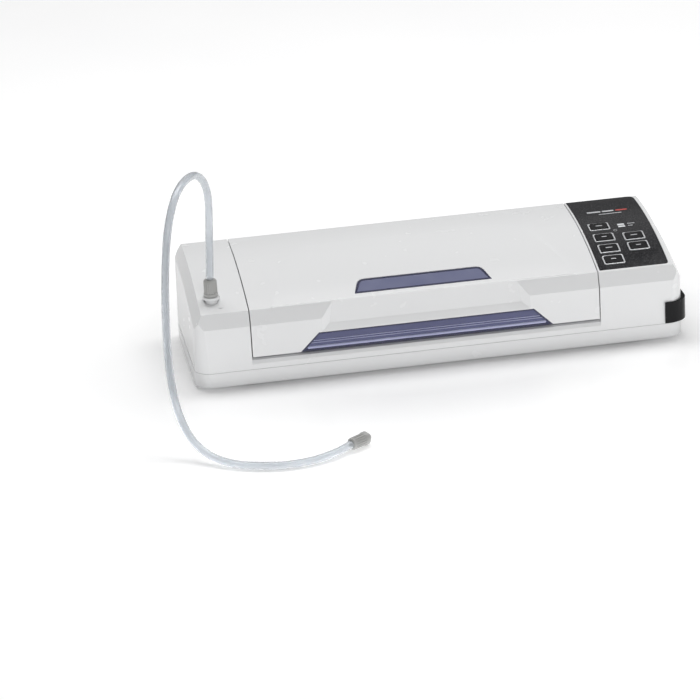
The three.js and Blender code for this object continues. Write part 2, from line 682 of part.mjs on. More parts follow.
function buildDrive() {
  const axis = { y: 41, z: 33 };
  const motor = cylinderX(18, -52, 8, axis.y, axis.z, 28)
    .add(cylinderX(8, 7, 13, axis.y, axis.z, 16));
  piece('pump_motor', motor, MATERIALS.motor);
  const head = box(-106, -52.4, 20, 62, 10, 56)
    .add(cylinderZ(10, -90, 41, 55, 64, 20))
    .add(cylinderZ(10, -67, 41, 55, 64, 20))
    .add(cylinderX(3, -112, -105, 41, 45, 12));
  piece('pump_head', head, MATERIALS.greyPlastic);
  const valve = cylinderX(9, -150, -126, 41, 45, 20).add(box(-146, -130, 34, 48, 22, 38));
  piece('solenoid_valve', valve, MATERIALS.steel);
  const powerBoard = box(20, 136, 14, 66, 12, 13.6);
  piece('power_board', powerBoard, MATERIALS.board);
  const transformer = box(34, 84, 20, 60, 14, 50).add(box(40, 78, 16, 64, 20, 44));
  piece('transformer', transformer, MATERIALS.motor);
  piece('lid_switch', box(108, 128, 20, 28, 52, 64).add(box(116, 120, 23, 25, 63, 66)), MATERIALS.black);
}

function tube(points, radius, sides) {
  const curve = new THREE.CatmullRomCurve3(points.map((p) => new THREE.Vector3(...p)));
  const section = new THREE.Shape();
  section.absarc(0, 0, radius, 0, Math.PI * 2);
  const steps = Math.max(6, Math.round(curve.getLength() / (radius * 5)));
  return new THREE.ExtrudeGeometry(section, {
    steps, extrudePath: curve, curveSegments: sides, bevelEnabled: false,
  });
}

function buildTubes() {
  const portEnd = topZ(PORT.y) - 12 - GAP;
  const suction = [[-106, 12, 7.9], [-70, 12, 7.9], [0, 8, 7.9], [60, -16, 7.9], [89, -34, 7.9]];
  piece('suction_tube', tube(suction, 2.2, 8), MATERIALS.clearHose);
  const branch = [
    [-150.4, 41, 45], [-164, 41, 44], [-190, 20, 42], [-206, -30, 44], [-207, -50, 54],
    [-207, -50, portEnd],
  ];
  piece('port_tube', tube(branch, 2.2, 8), MATERIALS.clearHose);
}

function buildInlet() {
  const { x, z } = INLET;
  const face = CASE.rear + 0.9;
  const pins = [-4.3, 4.3].map((dx) => {
    const pin = new THREE.CylinderGeometry(1.2, 1.2, 11, 10);
    pin.translate(x + dx, face - 8.5, z);
    return solid(pin);
  });
  let inlet = box(x - 13, x + 13, face - 17, face, z - 9, z + 9)
    .subtract(box(x - 9, x + 9, face - 13, face + 5, z - 5, z + 5));
  for (const pin of pins) {
    inlet = inlet.add(pin);
  }
  piece('power_inlet', inlet, MATERIALS.black);
}

// ---------------------------------------------------------------- corner band
// Follows the casing round its front right corner, almost flush in front and proud at the side.
function buildCornerBand() {
  const b = CORNER_BAND;
  const front = CASE.front;
  const side = CASE.right;
  const r = CASE.corner;
  const plan = new THREE.Shape();
  plan.moveTo(b.start, front - GAP);
  plan.lineTo(b.start, front - b.frontProud);
  plan.lineTo(side - r, front - b.frontProud);
  plan.bezierCurveTo(
    side - r / 3, front - b.frontProud, side + b.proud, front + r / 3, side + b.proud, front + r,
  );
  plan.lineTo(side + b.proud, b.endY - 6);
  plan.quadraticCurveTo(side + b.proud, b.endY, side + GAP, b.endY);
  plan.lineTo(side + GAP, front + r);
  plan.absarc(side - r, front + r, r + GAP, 0, -Math.PI / 2, true);
  const low = PARTING + 0.4;
  piece('corner_band', prismZ(plan, low, b.top, 8), MATERIALS.black);
}

// ---------------------------------------------------------------- accessory port and hose
function buildPortAndHose() {
  const top = topZ(PORT.y);
  const lip = top + PORT.proud;
  const neck = PORT.radius - 2;
  const bore = PORT.bore;
  const port = [
    [0, top - 12], [3, top - 12], [3, top - 9], [neck, top - 9], [neck, top + 2.2],
    [PORT.radius, top + 2.2], [PORT.radius, lip + 2.2], [bore, lip + 2.2], [bore, top - 6], [0, top - 6],
  ];
  piece('accessory_port', turned(port, PORT.x, PORT.y), MATERIALS.white);
  const seat = lip + 2.2 + GAP;
  const collar = [[0, top - 3], [bore - GAP, top - 3], [bore - GAP, seat], [6.4, seat], [6.4, seat + 3]];
  const ribs = [];
  for (let i = 0; i < 3; i += 1) {
    const z = seat + 3 + i * 2.4;
    ribs.push([5.5, z + 0.2], [5.5, z + 1.2], [6.1, z + 1.4], [6.1, z + 2.3]);
  }
  const end = HOSE_ROUTE[0][2] - GAP;
  const plug = [...collar, ...ribs, [4.4, end], [0, end]];
  piece('hose_plug', turned(plug, PORT.x, PORT.y, 20), MATERIALS.greyPlastic);
  piece('hose', tube(HOSE_ROUTE, HOSE.radius, HOSE.sides), MATERIALS.clearHose);
  buildHoseConnector();
}

// The ribbed ferrule on the free end, lying along the last stretch of the hose.
function buildHoseConnector() {
  const last = new THREE.Vector3(...HOSE_ROUTE[HOSE_ROUTE.length - 1]);
  const before = new THREE.Vector3(...HOSE_ROUTE[HOSE_ROUTE.length - 2]);
  const along = last.clone().sub(before).setZ(0).normalize();
  const profile = [[0, GAP + 0.1], [4.6, GAP + 0.1], [5.2, 3]];
  for (let i = 0; i < 4; i += 1) {
    const z = 3.4 + i * 3.1;
    profile.push([6.1, z], [6.1, z + 1.7], [5.3, z + 2], [5.3, z + 2.9]);
  }
  profile.push([4, 16.4], [3.2, 22], [0, 22]);
  const geometry = new THREE.LatheGeometry(profile.map(([r, z]) => new THREE.Vector2(r, z)), 24);
  const turn = new THREE.Quaternion().setFromUnitVectors(new THREE.Vector3(0, 1, 0), along);
  geometry.applyQuaternion(turn);
  geometry.translate(last.x, last.y, last.z);
  piece('hose_connector', geometry, MATERIALS.greyPlastic);
}

buildTray();
buildScrewsAndFeet();
buildHousing();
buildPanel();
buildCircuitBoard();
buildSealingParts();
buildLidCover();
buildLidInnerShell();
buildHingePins();
buildDrive();
buildTubes();
buildInlet();
buildCornerBand();
buildPortAndHose();

export default group;
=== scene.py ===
"""Visual model of a countertop vacuum sealer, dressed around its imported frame.

Sizes are in metres, +X to the right, +Y to the rear, +Z up, with the table at z = 0.
"""

import logging
import math
from collections.abc import Callable, Sequence
from dataclasses import dataclass
from enum import Enum

import bmesh
import bpy
from mathutils import Matrix, Vector


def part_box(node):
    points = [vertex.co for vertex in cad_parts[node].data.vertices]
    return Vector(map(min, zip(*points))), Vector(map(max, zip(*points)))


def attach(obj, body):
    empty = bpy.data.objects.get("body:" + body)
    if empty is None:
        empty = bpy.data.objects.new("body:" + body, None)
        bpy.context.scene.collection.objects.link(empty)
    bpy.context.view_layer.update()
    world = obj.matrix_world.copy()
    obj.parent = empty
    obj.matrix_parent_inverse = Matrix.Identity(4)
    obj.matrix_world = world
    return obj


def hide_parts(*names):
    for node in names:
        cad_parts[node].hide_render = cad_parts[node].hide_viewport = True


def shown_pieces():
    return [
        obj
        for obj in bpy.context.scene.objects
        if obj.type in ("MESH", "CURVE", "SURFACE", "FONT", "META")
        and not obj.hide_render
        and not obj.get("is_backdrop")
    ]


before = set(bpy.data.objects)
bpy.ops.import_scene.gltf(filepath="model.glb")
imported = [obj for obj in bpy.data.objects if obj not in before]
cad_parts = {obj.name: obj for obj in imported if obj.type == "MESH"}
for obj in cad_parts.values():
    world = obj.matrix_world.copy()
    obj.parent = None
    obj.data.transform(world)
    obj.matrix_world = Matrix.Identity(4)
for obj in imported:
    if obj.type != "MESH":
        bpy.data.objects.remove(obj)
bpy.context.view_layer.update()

LOG = logging.getLogger("vacuum_sealer")
MM = 0.001

Rgb = tuple[float, float, float]
Point = tuple[float, float, float]

CORNERS = ("front_left", "rear_left", "front_right", "rear_right")
CREASE_ANGLE = math.radians(20.0)
TURNED_SIDES = 48


class Body(Enum):
    """The two large bodies of the frame. Each key is a body of its own name."""

    BASE = "base"
    LID = "lid"


class Slot(Enum):
    """The record's material slots. Some tables below list one beside a piece, but no piece is
    given it.
    """

    WHITE = "white_shell"
    BLUE = "blue_shell"
    PANEL = "black_panel"
    TRIM = "black_trim"
    KEY = "key_black"
    CHROME = "chrome_trim"
    LENS = "led_lens"
    GREY = "grey_plastic"
    STEEL = "steel"
    TUBE = "clear_tube"
    TAPE = "sealing_tape"
    FOAM = "foam_gasket"
    SILICONE = "silicone"
    RUBBER = "rubber_foot"


# ---------------------------------------------------------------- finishes


class ShaderGraph:
    """One material's node tree, grown a node at a time."""

    def __init__(self, name: str) -> None:
        """Makes an empty material with its shader and object coordinates ready."""
        self.material = bpy.data.materials.new(name)
        self.material.use_nodes = True
        self.tree = self.material.node_tree
        self.shader = self.tree.nodes["Principled BSDF"]
        self.place = self.tree.nodes.new("ShaderNodeTexCoord").outputs["Object"]

    def plain(self, **values: float | tuple) -> None:
        """Sets the shader's own sockets. Underscores in the names stand for spaces."""
        for key, value in values.items():
            self.shader.inputs[key.replace("_", " ")].default_value = value

    def drive(self, socket: str, source: bpy.types.NodeSocket) -> None:
        """Links a pattern into one of the shader's sockets."""
        self.tree.links.new(source, self.shader.inputs[socket])

    def gloss(
        self, pattern: bpy.types.NodeSocket, roughness: float, less: float, more: float
    ) -> None:
        """Varies the roughness by a pattern.

        Args:
            pattern: the pattern.
            roughness: the roughness of the finish.
            less: how far the pattern takes it down.
            more: how far the pattern takes it up.
        """
        self.drive("Roughness", self.between(pattern, roughness - less, roughness + more))

    def stretched(self, scale: Point) -> bpy.types.NodeSocket:
        """Object coordinates scaled by a different amount along each axis.

        Args:
            scale: the factors along X, Y and Z.

        Returns:
            The scaled coordinates.
        """
        node = self.tree.nodes.new("ShaderNodeMapping")
        node.inputs["Scale"].default_value = scale
        self.tree.links.new(self.place, node.inputs["Vector"])
        return node.outputs["Vector"]

    def noise(
        self, scale: float, detail: float = 2.0, place: bpy.types.NodeSocket | None = None
    ) -> bpy.types.NodeSocket:
        """A cloudy pattern.

        Args:
            scale: how many features to the metre.
            detail: how many finer layers it has.
            place: the coordinates that it reads, or None for the object's own.

        Returns:
            The pattern's value.
        """
        node = self.tree.nodes.new("ShaderNodeTexNoise")
        node.inputs["Scale"].default_value = scale
        node.inputs["Detail"].default_value = detail
        self.tree.links.new(place or self.place, node.inputs["Vector"])
        return node.outputs["Fac"]

    def cells(self, scale: float) -> bpy.types.NodeSocket:
        """Scattered cells.

        Args:
            scale: how many cells to the metre.

        Returns:
            The distance to the middle of the nearest cell.
        """
        node = self.tree.nodes.new("ShaderNodeTexVoronoi")
        node.inputs["Scale"].default_value = scale
        self.tree.links.new(self.place, node.inputs["Vector"])
        return node.outputs["Distance"]

    def bands(self, scale: float, axis: str) -> bpy.types.NodeSocket:
        """Straight waves across one axis, for threads and traces.

        Args:
            scale: how close the waves lie.
            axis: X, Y or Z.

        Returns:
            The pattern's value.
        """
        node = self.tree.nodes.new("ShaderNodeTexWave")
        node.bands_direction = axis
        node.inputs["Scale"].default_value = scale
        self.tree.links.new(self.place, node.inputs["Vector"])
        return node.outputs["Fac"]

    def ramp(
        self, value: bpy.types.NodeSocket, stops: Sequence[tuple[float, Rgb]]
    ) -> bpy.types.NodeSocket:
        """Colours laid along a pattern's value.

        Args:
            value: the pattern.
            stops: where each colour stands, from 0 to 1.

        Returns:
            The colour.
        """
        node = self.tree.nodes.new("ShaderNodeValToRGB")
        elements = node.color_ramp.elements
        while len(elements) < len(stops):
            elements.new(0.5)
        for element, (at, colour) in zip(elements, stops):
            element.position = at
            element.color = (*colour, 1.0)
        self.tree.links.new(value, node.inputs["Fac"])
        return node.outputs["Color"]

    def nearness(self, place: bpy.types.NodeSocket) -> bpy.types.NodeSocket:
        """How near the origin a place is.

        Args:
            place: the coordinates that it reads.

        Returns:
            1 at the origin, falling to 0 at one unit from it.
        """
        node = self.tree.nodes.new("ShaderNodeTexGradient")
        node.gradient_type = "SPHERICAL"
        self.tree.links.new(place, node.inputs["Vector"])
        return node.outputs["Fac"]

    def between(
        self,
        value: bpy.types.NodeSocket,
        low: float,
        high: float,
        taken: tuple[float, float] = (0.3, 0.7),
    ) -> bpy.types.NodeSocket:
        """A pattern's value moved into another range.

        Args:
            value: the pattern.
            low: what its lowest value becomes.
            high: what its highest value becomes.
            taken: the lowest and highest values that count.

        Returns:
            The moved value.
        """
        node = self.tree.nodes.new("ShaderNodeMapRange")
        node.inputs["From Min"].default_value = taken[0]
        node.inputs["From Max"].default_value = taken[1]
        node.inputs["To Min"].default_value = low
        node.inputs["To Max"].default_value = high
        self.tree.links.new(value, node.inputs["Value"])
        return node.outputs["Result"]

    def product(
        self, first: bpy.types.NodeSocket, second: bpy.types.NodeSocket
    ) -> bpy.types.NodeSocket:
        """Two patterns multiplied.

        Args:
            first: one pattern.
            second: the other pattern.

        Returns:
            Their product.
        """
        node = self.tree.nodes.new("ShaderNodeMath")
        node.operation = "MULTIPLY"
        self.tree.links.new(first, node.inputs[0])
        self.tree.links.new(second, node.inputs[1])
        return node.outputs["Value"]

    def relief(self, height: bpy.types.NodeSocket, strength: float, depth: float) -> None:
        """Raises the surface by a pattern.

        Args:
            height: the pattern.
            strength: how much of the relief shows.
            depth: its height in metres.
        """
        node = self.tree.nodes.new("ShaderNodeBump")
        node.inputs["Strength"].default_value = strength
        node.inputs["Distance"].default_value = depth
        self.tree.links.new(height, node.inputs["Height"])
        self.tree.links.new(node.outputs["Normal"], self.shader.inputs["Normal"])


def tinted(colour: Rgb, factor: float) -> Rgb:
    """A colour made darker or lighter by a factor."""
    return (colour[0] * factor, colour[1] * factor, colour[2] * factor)


@dataclass(frozen=True)
class MouldedPlastic:
    """Injection-moulded plastic: a faint cloudiness, uneven gloss and a fine skin."""

    name: str
    colour: Rgb
    roughness: float
    cloud: float = 0.03
    gloss_spread: float = 0.05
    skin: float = 0.05
    grain: float = 900.0
    coat: float = 0.0
    ior: float = 1.5

    def material(self) -> bpy.types.Material:
        """Builds the finish.

        Returns:
            The material.
        """
        graph = ShaderGraph(self.name)
        light = tinted(self.colour, 1 + self.cloud)
        dark = tinted(self.colour, 1 - self.cloud)
        graph.drive("Base Color", graph.ramp(graph.noise(9.0), [(0.35, dark), (0.65, light)]))
        graph.gloss(graph.noise(70.0), self.roughness, self.gloss_spread, self.gloss_spread)
        graph.relief(graph.noise(self.grain), self.skin, 0.2 * MM)
        graph.plain(IOR=self.ior, Coat_Weight=self.coat, Coat_Roughness=0.08)
        return graph.material


@dataclass(frozen=True)
class TintedShell:
    """Clear coloured plastic that lets some of the light through."""

    name: str
    colour: Rgb
    pale: Rgb
    through: float
    roughness: float

    def material(self) -> bpy.types.Material:
        """Builds the finish.

        Returns:
            The material.
        """
        graph = ShaderGraph(self.name)
        colour = graph.ramp(graph.noise(14.0, 3.0), [(0.3, self.colour), (0.75, self.pale)])
        graph.drive("Base Color", colour)
        graph.gloss(graph.noise(90.0), self.roughness, 0.03, 0.04)
        graph.relief(graph.noise(320.0), 0.04, 0.2 * MM)
        graph.plain(IOR=1.49, Transmission_Weight=self.through, Coat_Weight=0.3)
        return graph.material


@dataclass(frozen=True)
class SpeckledFilm:
    """Glossy printed film with fine bright specks in its black."""

    name: str
    colour: Rgb
    speck: Rgb
    roughness: float

    def material(self) -> bpy.types.Material:
        """Builds the finish.

        Returns:
            The material.
        """
        graph = ShaderGraph(self.name)
        stops = [(0.0, self.colour), (0.56, self.colour), (0.72, self.speck)]
        graph.drive("Base Color", graph.ramp(graph.noise(1400.0, 1.0), stops))
        graph.gloss(graph.noise(60.0), self.roughness, 0.04, 0.06)
        graph.relief(graph.noise(700.0), 0.05, 0.1 * MM)
        graph.plain(IOR=1.4)
        return graph.material


@dataclass(frozen=True)
class BrushedMetal:
    """Metal with fine lines along X."""

    name: str
    colour: Rgb
    roughness: float
    lines: float = 2200.0
    metallic: float = 1.0

    def material(self) -> bpy.types.Material:
        """Builds the finish.

        Returns:
            The material.
        """
        graph = ShaderGraph(self.name)
        along = graph.stretched((0.04, 1.0, 1.0))
        brushed = graph.noise(self.lines, 2.0, along)
        stops = [(0.3, tinted(self.colour, 0.9)), (0.7, self.colour)]
        graph.drive("Base Color", graph.ramp(brushed, stops))
        graph.gloss(brushed, self.roughness, 0.05, 0.08)
        graph.relief(brushed, 0.08, 0.05 * MM)
        graph.plain(Metallic=self.metallic)
        return graph.material


@dataclass(frozen=True)
class ClearTube:
    """Soft clear tube with a slight haze."""

    name: str
    colour: Rgb
    roughness: float
    through: float

    def material(self) -> bpy.types.Material:
        """Builds the finish.

        Returns:
            The material.
        """
        graph = ShaderGraph(self.name)
        stops = [(0.3, tinted(self.colour, 0.94)), (0.7, self.colour)]
        graph.drive("Base Color", graph.ramp(graph.noise(40.0, 3.0), stops))
        graph.gloss(graph.noise(120.0), self.roughness, 0.03, 0.05)
        graph.relief(graph.noise(500.0), 0.03, 0.1 * MM)
        graph.plain(IOR=1.42, Transmission_Weight=self.through)
        return graph.material


@dataclass(frozen=True)
class WovenTape:
    """Woven non-stick tape: warp and weft threads crossing."""

    name: str
    colour: Rgb
    threads: float = 260.0

    def material(self) -> bpy.types.Material:
        """Builds the finish.

        Returns:
            The material.
        """
        graph = ShaderGraph(self.name)
        weave = graph.product(graph.bands(self.threads, "X"), graph.bands(self.threads, "Y"))
        stops = [(0.05, tinted(self.colour, 0.6)), (0.6, self.colour)]
        graph.drive("Base Color", graph.ramp(weave, stops))
        graph.drive("Roughness", graph.between(graph.noise(200.0), 0.4, 0.55))
        graph.relief(weave, 0.4, 0.15 * MM)
        return graph.material


@dataclass(frozen=True)
class PorousFoam:
    """Soft foam or rubber with open pores or a matt skin."""

    name: str
    colour: Rgb
    pores: float
    depth: float
    roughness: float = 0.85

    def material(self) -> bpy.types.Material:
        """Builds the finish.

        Returns:
            The material.
        """
        graph = ShaderGraph(self.name)
        cells = graph.cells(self.pores)
        stops = [(0.0, tinted(self.colour, 0.55)), (0.5, self.colour)]
        graph.drive("Base Color", graph.ramp(cells, stops))
        graph.gloss(graph.noise(150.0), self.roughness, 0.1, 0.0)
        graph.relief(cells, 0.5, self.depth)
        return graph.material


@dataclass(frozen=True)
class BoardLacquer:
    """Green solder lacquer with fine traces under it."""

    name: str
    colour: Rgb
    trace: Rgb

    def material(self) -> bpy.types.Material:
        """Builds the finish.

        Returns:
            The material.
        """
        graph = ShaderGraph(self.name)
        traces = graph.product(graph.bands(90.0, "X"), graph.noise(120.0))
        graph.drive("Base Color", graph.ramp(traces, [(0.3, self.colour), (0.45, self.trace)]))
        graph.drive("Roughness", graph.between(graph.noise(200.0), 0.28, 0.42))
        graph.relief(traces, 0.2, 0.1 * MM)
        return graph.material


class Finishes:
    """Every finish of the sealer, made once and shared by its pieces."""

    def __init__(self) -> None:
        """Makes the materials."""
        make = {
            "white": MouldedPlastic(
                "white_gloss_shell",
                (0.82, 0.825, 0.83),
                roughness=0.27,
                cloud=0.004,
                gloss_spread=0.004,
                skin=0.012,
            ),
            "blue": TintedShell(
                "indigo_clear_shell",
                (0.055, 0.063, 0.190),
                pale=(0.080, 0.090, 0.240),
                through=0.25,
                roughness=0.16,
            ),
            # Pale indigo for the lower window's ribs and lip: painted highlight, standing in for
            # the light that these beads catch.
            "rib": TintedShell(
                "indigo_rib_painted_highlight",
                (0.38, 0.40, 0.62),
                pale=(0.50, 0.52, 0.74),
                through=0.1,
                roughness=0.2,
            ),
            # Paler indigo than the shell for the upper window's pane: painted light, for the light
            # that the upward-facing window takes in.
            "pane": TintedShell(
                "indigo_upper_pane_painted_light",
                (0.165, 0.178, 0.30),
                pale=(0.215, 0.23, 0.36),
                through=0.1,
                roughness=0.2,
            ),
            # Near-black navy edge round both windows: painted shade, for the shadow in the gap
            # where each window sits back in its recess.
            "navy": MouldedPlastic(
                "navy_painted_window_shade",
                (0.016, 0.017, 0.065),
                roughness=0.3,
                cloud=0.1,
                gloss_spread=0.04,
                skin=0.04,
            ),
            "film": SpeckledFilm(
                "black_printed_film",
                (0.010, 0.010, 0.012),
                speck=(0.085, 0.085, 0.09),
                roughness=0.2,
            ),
            "trim": MouldedPlastic(
                "black_gloss_trim",
                (0.008, 0.008, 0.009),
                roughness=0.16,
                cloud=0.1,
                gloss_spread=0.03,
                skin=0.02,
                grain=600.0,
                ior=1.22,
            ),
            "key": MouldedPlastic(
                "black_key_cap",
                (0.006, 0.006, 0.007),
                roughness=0.3,
                cloud=0.12,
                gloss_spread=0.06,
                skin=0.1,
                grain=1600.0,
                ior=1.3,
            ),
            "ink": MouldedPlastic(
                "pale_printed_mark", (0.62, 0.63, 0.65), roughness=0.45, cloud=0.05
            ),
            "accent": MouldedPlastic(
                "warm_printed_mark", (0.50, 0.07, 0.06), roughness=0.45, cloud=0.05
            ),
            "chrome": BrushedMetal(
                "satin_chrome_frame", (0.78, 0.79, 0.81), roughness=0.26, metallic=0.45
            ),
            "steel": BrushedMetal("bright_steel", (0.60, 0.61, 0.63), roughness=0.32),
            "motor": BrushedMetal("zinc_motor_can", (0.42, 0.43, 0.45), roughness=0.36),
            "lens": MouldedPlastic(
                "milky_lens",
                (0.80, 0.82, 0.84),
                roughness=0.22,
                cloud=0.02,
                gloss_spread=0.04,
                skin=0.03,
                grain=500.0,
                coat=0.2,
            ),
            "grey": MouldedPlastic(
                "grey_fitting",
                (0.42, 0.42, 0.41),
                roughness=0.34,
                cloud=0.06,
                gloss_spread=0.06,
                skin=0.08,
                grain=1200.0,
            ),
            "tube": ClearTube("clear_soft_tube", (0.90, 0.93, 0.96), roughness=0.12, through=0.72),
            "tape": WovenTape("woven_sealing_tape", (0.36, 0.23, 0.11)),
            "foam": PorousFoam(
                "foam_gasket_skin", (0.05, 0.053, 0.06), pores=900.0, depth=0.4 * MM
            ),
            "silicone": PorousFoam(
                "silicone_strip", (0.52, 0.54, 0.56), pores=2500.0, depth=0.08 * MM, roughness=0.6
            ),
            "rubber": PorousFoam(
                "rubber_foot_skin", (0.03, 0.03, 0.033), pores=1800.0, depth=0.1 * MM
            ),
            "board": BoardLacquer(
                "circuit_lacquer", (0.01, 0.085, 0.03), trace=(0.03, 0.16, 0.05)
            ),
        }
        self.materials = {key: finish.material() for key, finish in make.items()}

    def __getitem__(self, key: str) -> bpy.types.Material:
        """The material of one finish."""
        return self.materials[key]


# ---------------------------------------------------------------- the bench: shaping and dressing


def only(obj: bpy.types.Object) -> None:
    """Leaves one object selected and active.

    Args:
        obj: the object.
    """
    bpy.ops.object.select_all(action="DESELECT")
    obj.select_set(True)
    bpy.context.view_layer.objects.active = obj


def added(name: str) -> bpy.types.Object:
    """Names the primitive just added and applies its place to its mesh.

    Args:
        name: the piece's name.

    Returns:
        The primitive's object.
    """
    obj = bpy.context.active_object
    obj.name = name
    bpy.ops.object.transform_apply(location=True, rotation=True, scale=True)
    return obj


def linked(name: str, data: bpy.types.ID) -> bpy.types.Object:
    """Makes an object of a mesh, curve, light or camera and puts it in the scene.

    Args:
        name: the object's name.
        data: what it holds.

    Returns:
        The new object.
    """
    obj = bpy.data.objects.new(name, data)
    bpy.context.scene.collection.objects.link(obj)
    return obj


def block(name: str, centre: Point, size: Point) -> bpy.types.Object:
    """Adds a box.

    Args:
        name: the piece's name.
        centre: its middle.
        size: its length along each axis.

    Returns:
        The new object.
    """
    bpy.ops.object.select_all(action="DESELECT")
    bpy.ops.mesh.primitive_cube_add(size=1.0, location=centre, scale=size)
    return added(name)


def turned(
    name: str, profile: Sequence[tuple[float, float]], sides: int = TURNED_SIDES
) -> bpy.types.Object:
    """Spins a profile round the Z axis.

    Args:
        name: the piece's name.
        profile: radius and height of each point, with both ends on the axis or closed.
        sides: how many steps the turn takes.

    Returns:
        The new object.
    """
    mesh = bpy.data.meshes.new(name)
    points = [(r, 0.0, z) for r, z in profile]
    mesh.from_pydata(points, [(i, i + 1) for i in range(len(points) - 1)], [])
    obj = linked(name, mesh)
    only(obj)
    bpy.ops.object.mode_set(mode="EDIT")
    bpy.ops.mesh.select_all(action="SELECT")
    bpy.ops.mesh.spin(steps=sides, angle=math.tau, center=(0, 0, 0), axis=(0, 0, 1))
    bpy.ops.mesh.select_all(action="SELECT")
    bpy.ops.mesh.remove_doubles(threshold=0.001 * MM)
    bpy.ops.mesh.normals_make_consistent(inside=False)
    bpy.ops.object.mode_set(mode="OBJECT")
    return obj


def plate(name: str, outline: Sequence[tuple[float, float]]) -> bpy.types.Object:
    """Adds one flat face in the plane z = 0.

    Args:
        name: the piece's name.
        outline: its corners, in order.

    Returns:
        The new object.
    """
    mesh = bpy.data.meshes.new(name)
    mesh.from_pydata([(u, v, 0.0) for u, v in outline], [], [range(len(outline))])
    obj = linked(name, mesh)
    only(obj)
    return obj


def copy_of(node: str, name: str, flat: float = 0.6) -> bpy.types.Object:
    """Copies a CAD node's mesh into a new piece, with its loose triangles joined into faces.

    Args:
        node: the CAD node.
        name: the new piece's name.
        flat: the angle in degrees under which neighbouring triangles become one face, or
            0 to keep every triangle.

    Returns:
        The new object.
    """
    obj = linked(name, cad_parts[node].data.copy())
    only(obj)
    bpy.ops.object.mode_set(mode="EDIT")
    bpy.ops.mesh.select_all(action="SELECT")
    bpy.ops.mesh.customdata_custom_splitnormals_clear()
    bpy.ops.mesh.remove_doubles(threshold=0.002 * MM)
    if flat > 0:
        bpy.ops.mesh.dissolve_limited(angle_limit=math.radians(flat))
    bpy.ops.object.mode_set(mode="OBJECT")
    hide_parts(node)
    return obj


def bevel_edges(
    obj: bpy.types.Object,
    wanted: Callable[[bmesh.types.BMEdge], bool],
    width: float,
    segments: int = 3,
) -> None:
    """Rounds chosen edges in edit mode.

    Args:
        obj: the piece.
        wanted: says whether an edge is rounded.
        width: the bevel's width.
        segments: how many faces make it.
    """
    only(obj)
    bpy.ops.object.mode_set(mode="EDIT")
    bpy.ops.mesh.select_mode(type="EDGE")
    bpy.ops.mesh.select_all(action="DESELECT")
    mesh = bmesh.from_edit_mesh(obj.data)
    chosen = [edge for edge in mesh.edges if len(edge.link_faces) == 2 and wanted(edge)]
    for edge in chosen:
        edge.select_set(True)
    bmesh.update_edit_mesh(obj.data)
    if chosen:
        bpy.ops.mesh.bevel(offset=width, segments=segments, affect="EDGES", clamp_overlap=True)
    bpy.ops.object.mode_set(mode="OBJECT")


def inset_faces(
    obj: bpy.types.Object,
    wanted: Callable[[bmesh.types.BMFace], bool],
    thickness: float,
    depth: float,
    individual: bool = False,
) -> None:
    """Insets chosen faces in edit mode and moves them along their normals.

    Args:
        obj: the piece.
        wanted: says whether a face is inset.
        thickness: how far the inset goes in from the face's edges.
        depth: how far the face moves out, or in where it is negative.
        individual: each face has its own inset.
    """
    only(obj)
    bpy.ops.object.mode_set(mode="EDIT")
    bpy.ops.mesh.select_mode(type="FACE")
    bpy.ops.mesh.select_all(action="DESELECT")
    mesh = bmesh.from_edit_mesh(obj.data)
    for face in mesh.faces:
        if wanted(face):
            face.select_set(True)
    bmesh.update_edit_mesh(obj.data)
    bpy.ops.mesh.inset(thickness=thickness, depth=depth, use_individual=individual)
    bpy.ops.object.mode_set(mode="OBJECT")


def eased(obj: bpy.types.Object, width: float, segments: int = 2, angle: float = 28.0) -> None:
    """Rounds every sharp edge with a bevel modifier, which is then applied.

    Args:
        obj: the piece.
        width: the bevel's width.
        segments: how many faces make it.
        angle: the angle in degrees over which an edge is sharp.
    """
    only(obj)
    bevel = obj.modifiers.new("eased_edges", "BEVEL")
    bevel.width = width
    bevel.segments = segments
    bevel.limit_method = "ANGLE"
    bevel.angle_limit = math.radians(angle)
    bevel.use_clamp_overlap = True
    bevel.miter_outer = "MITER_ARC"
    bpy.ops.object.modifier_apply(modifier=bevel.name)


def thickened(obj: bpy.types.Object, thickness: float, offset: float) -> None:
    """Gives a surface a wall with a modifier, which is then applied.

    Args:
        obj: the piece.
        thickness: the wall's thickness.
        offset: 0 where the surface is the wall's middle, and -1 where the wall is behind it.
    """
    only(obj)
    wall = obj.modifiers.new("wall", "SOLIDIFY")
    wall.thickness = thickness
    wall.offset = offset
    bpy.ops.object.modifier_apply(modifier=wall.name)


def step_round(face: bmesh.types.BMFace, sides: int) -> int:
    """Which step of a turned piece a face belongs to, counted round the Z axis.

    Args:
        face: the face.
        sides: how many steps the piece has.

    Returns:
        The step's number.
    """
    middle = face.calc_center_median()
    return round(math.atan2(middle.y, middle.x) / math.tau * sides - 0.5)


def flutes(low: float, high: float, lean: float) -> Callable[[bmesh.types.BMFace], bool]:
    """A test for every third face round the grip of a turned fitting.

    Args:
        low: the height over which the grip begins.
        high: the height under which it ends.
        lean: how far a face's normal may rise or fall.

    Returns:
        A function that says whether a face is one of them.
    """

    def wanted(face: bmesh.types.BMFace) -> bool:
        """Whether a face becomes a flute."""
        in_grip = low < face.calc_center_median().z < high
        return abs(face.normal.z) < lean and in_grip and step_round(face, TURNED_SIDES) % 3 == 0

    return wanted


def under(node: str) -> Matrix:
    """The move from the origin to the middle of a CAD node's box, seen from above.

    Args:
        node: the CAD node.

    Returns:
        The matrix, which keeps the height.
    """
    low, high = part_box(node)
    return Matrix.Translation(((low.x + high.x) / 2, (low.y + high.y) / 2, 0.0))


def upright(edge: bmesh.types.BMEdge) -> bool:
    """Whether an edge runs straight up."""
    along = edge.verts[0].co - edge.verts[1].co
    return abs(along.z) > 0.9 * along.length


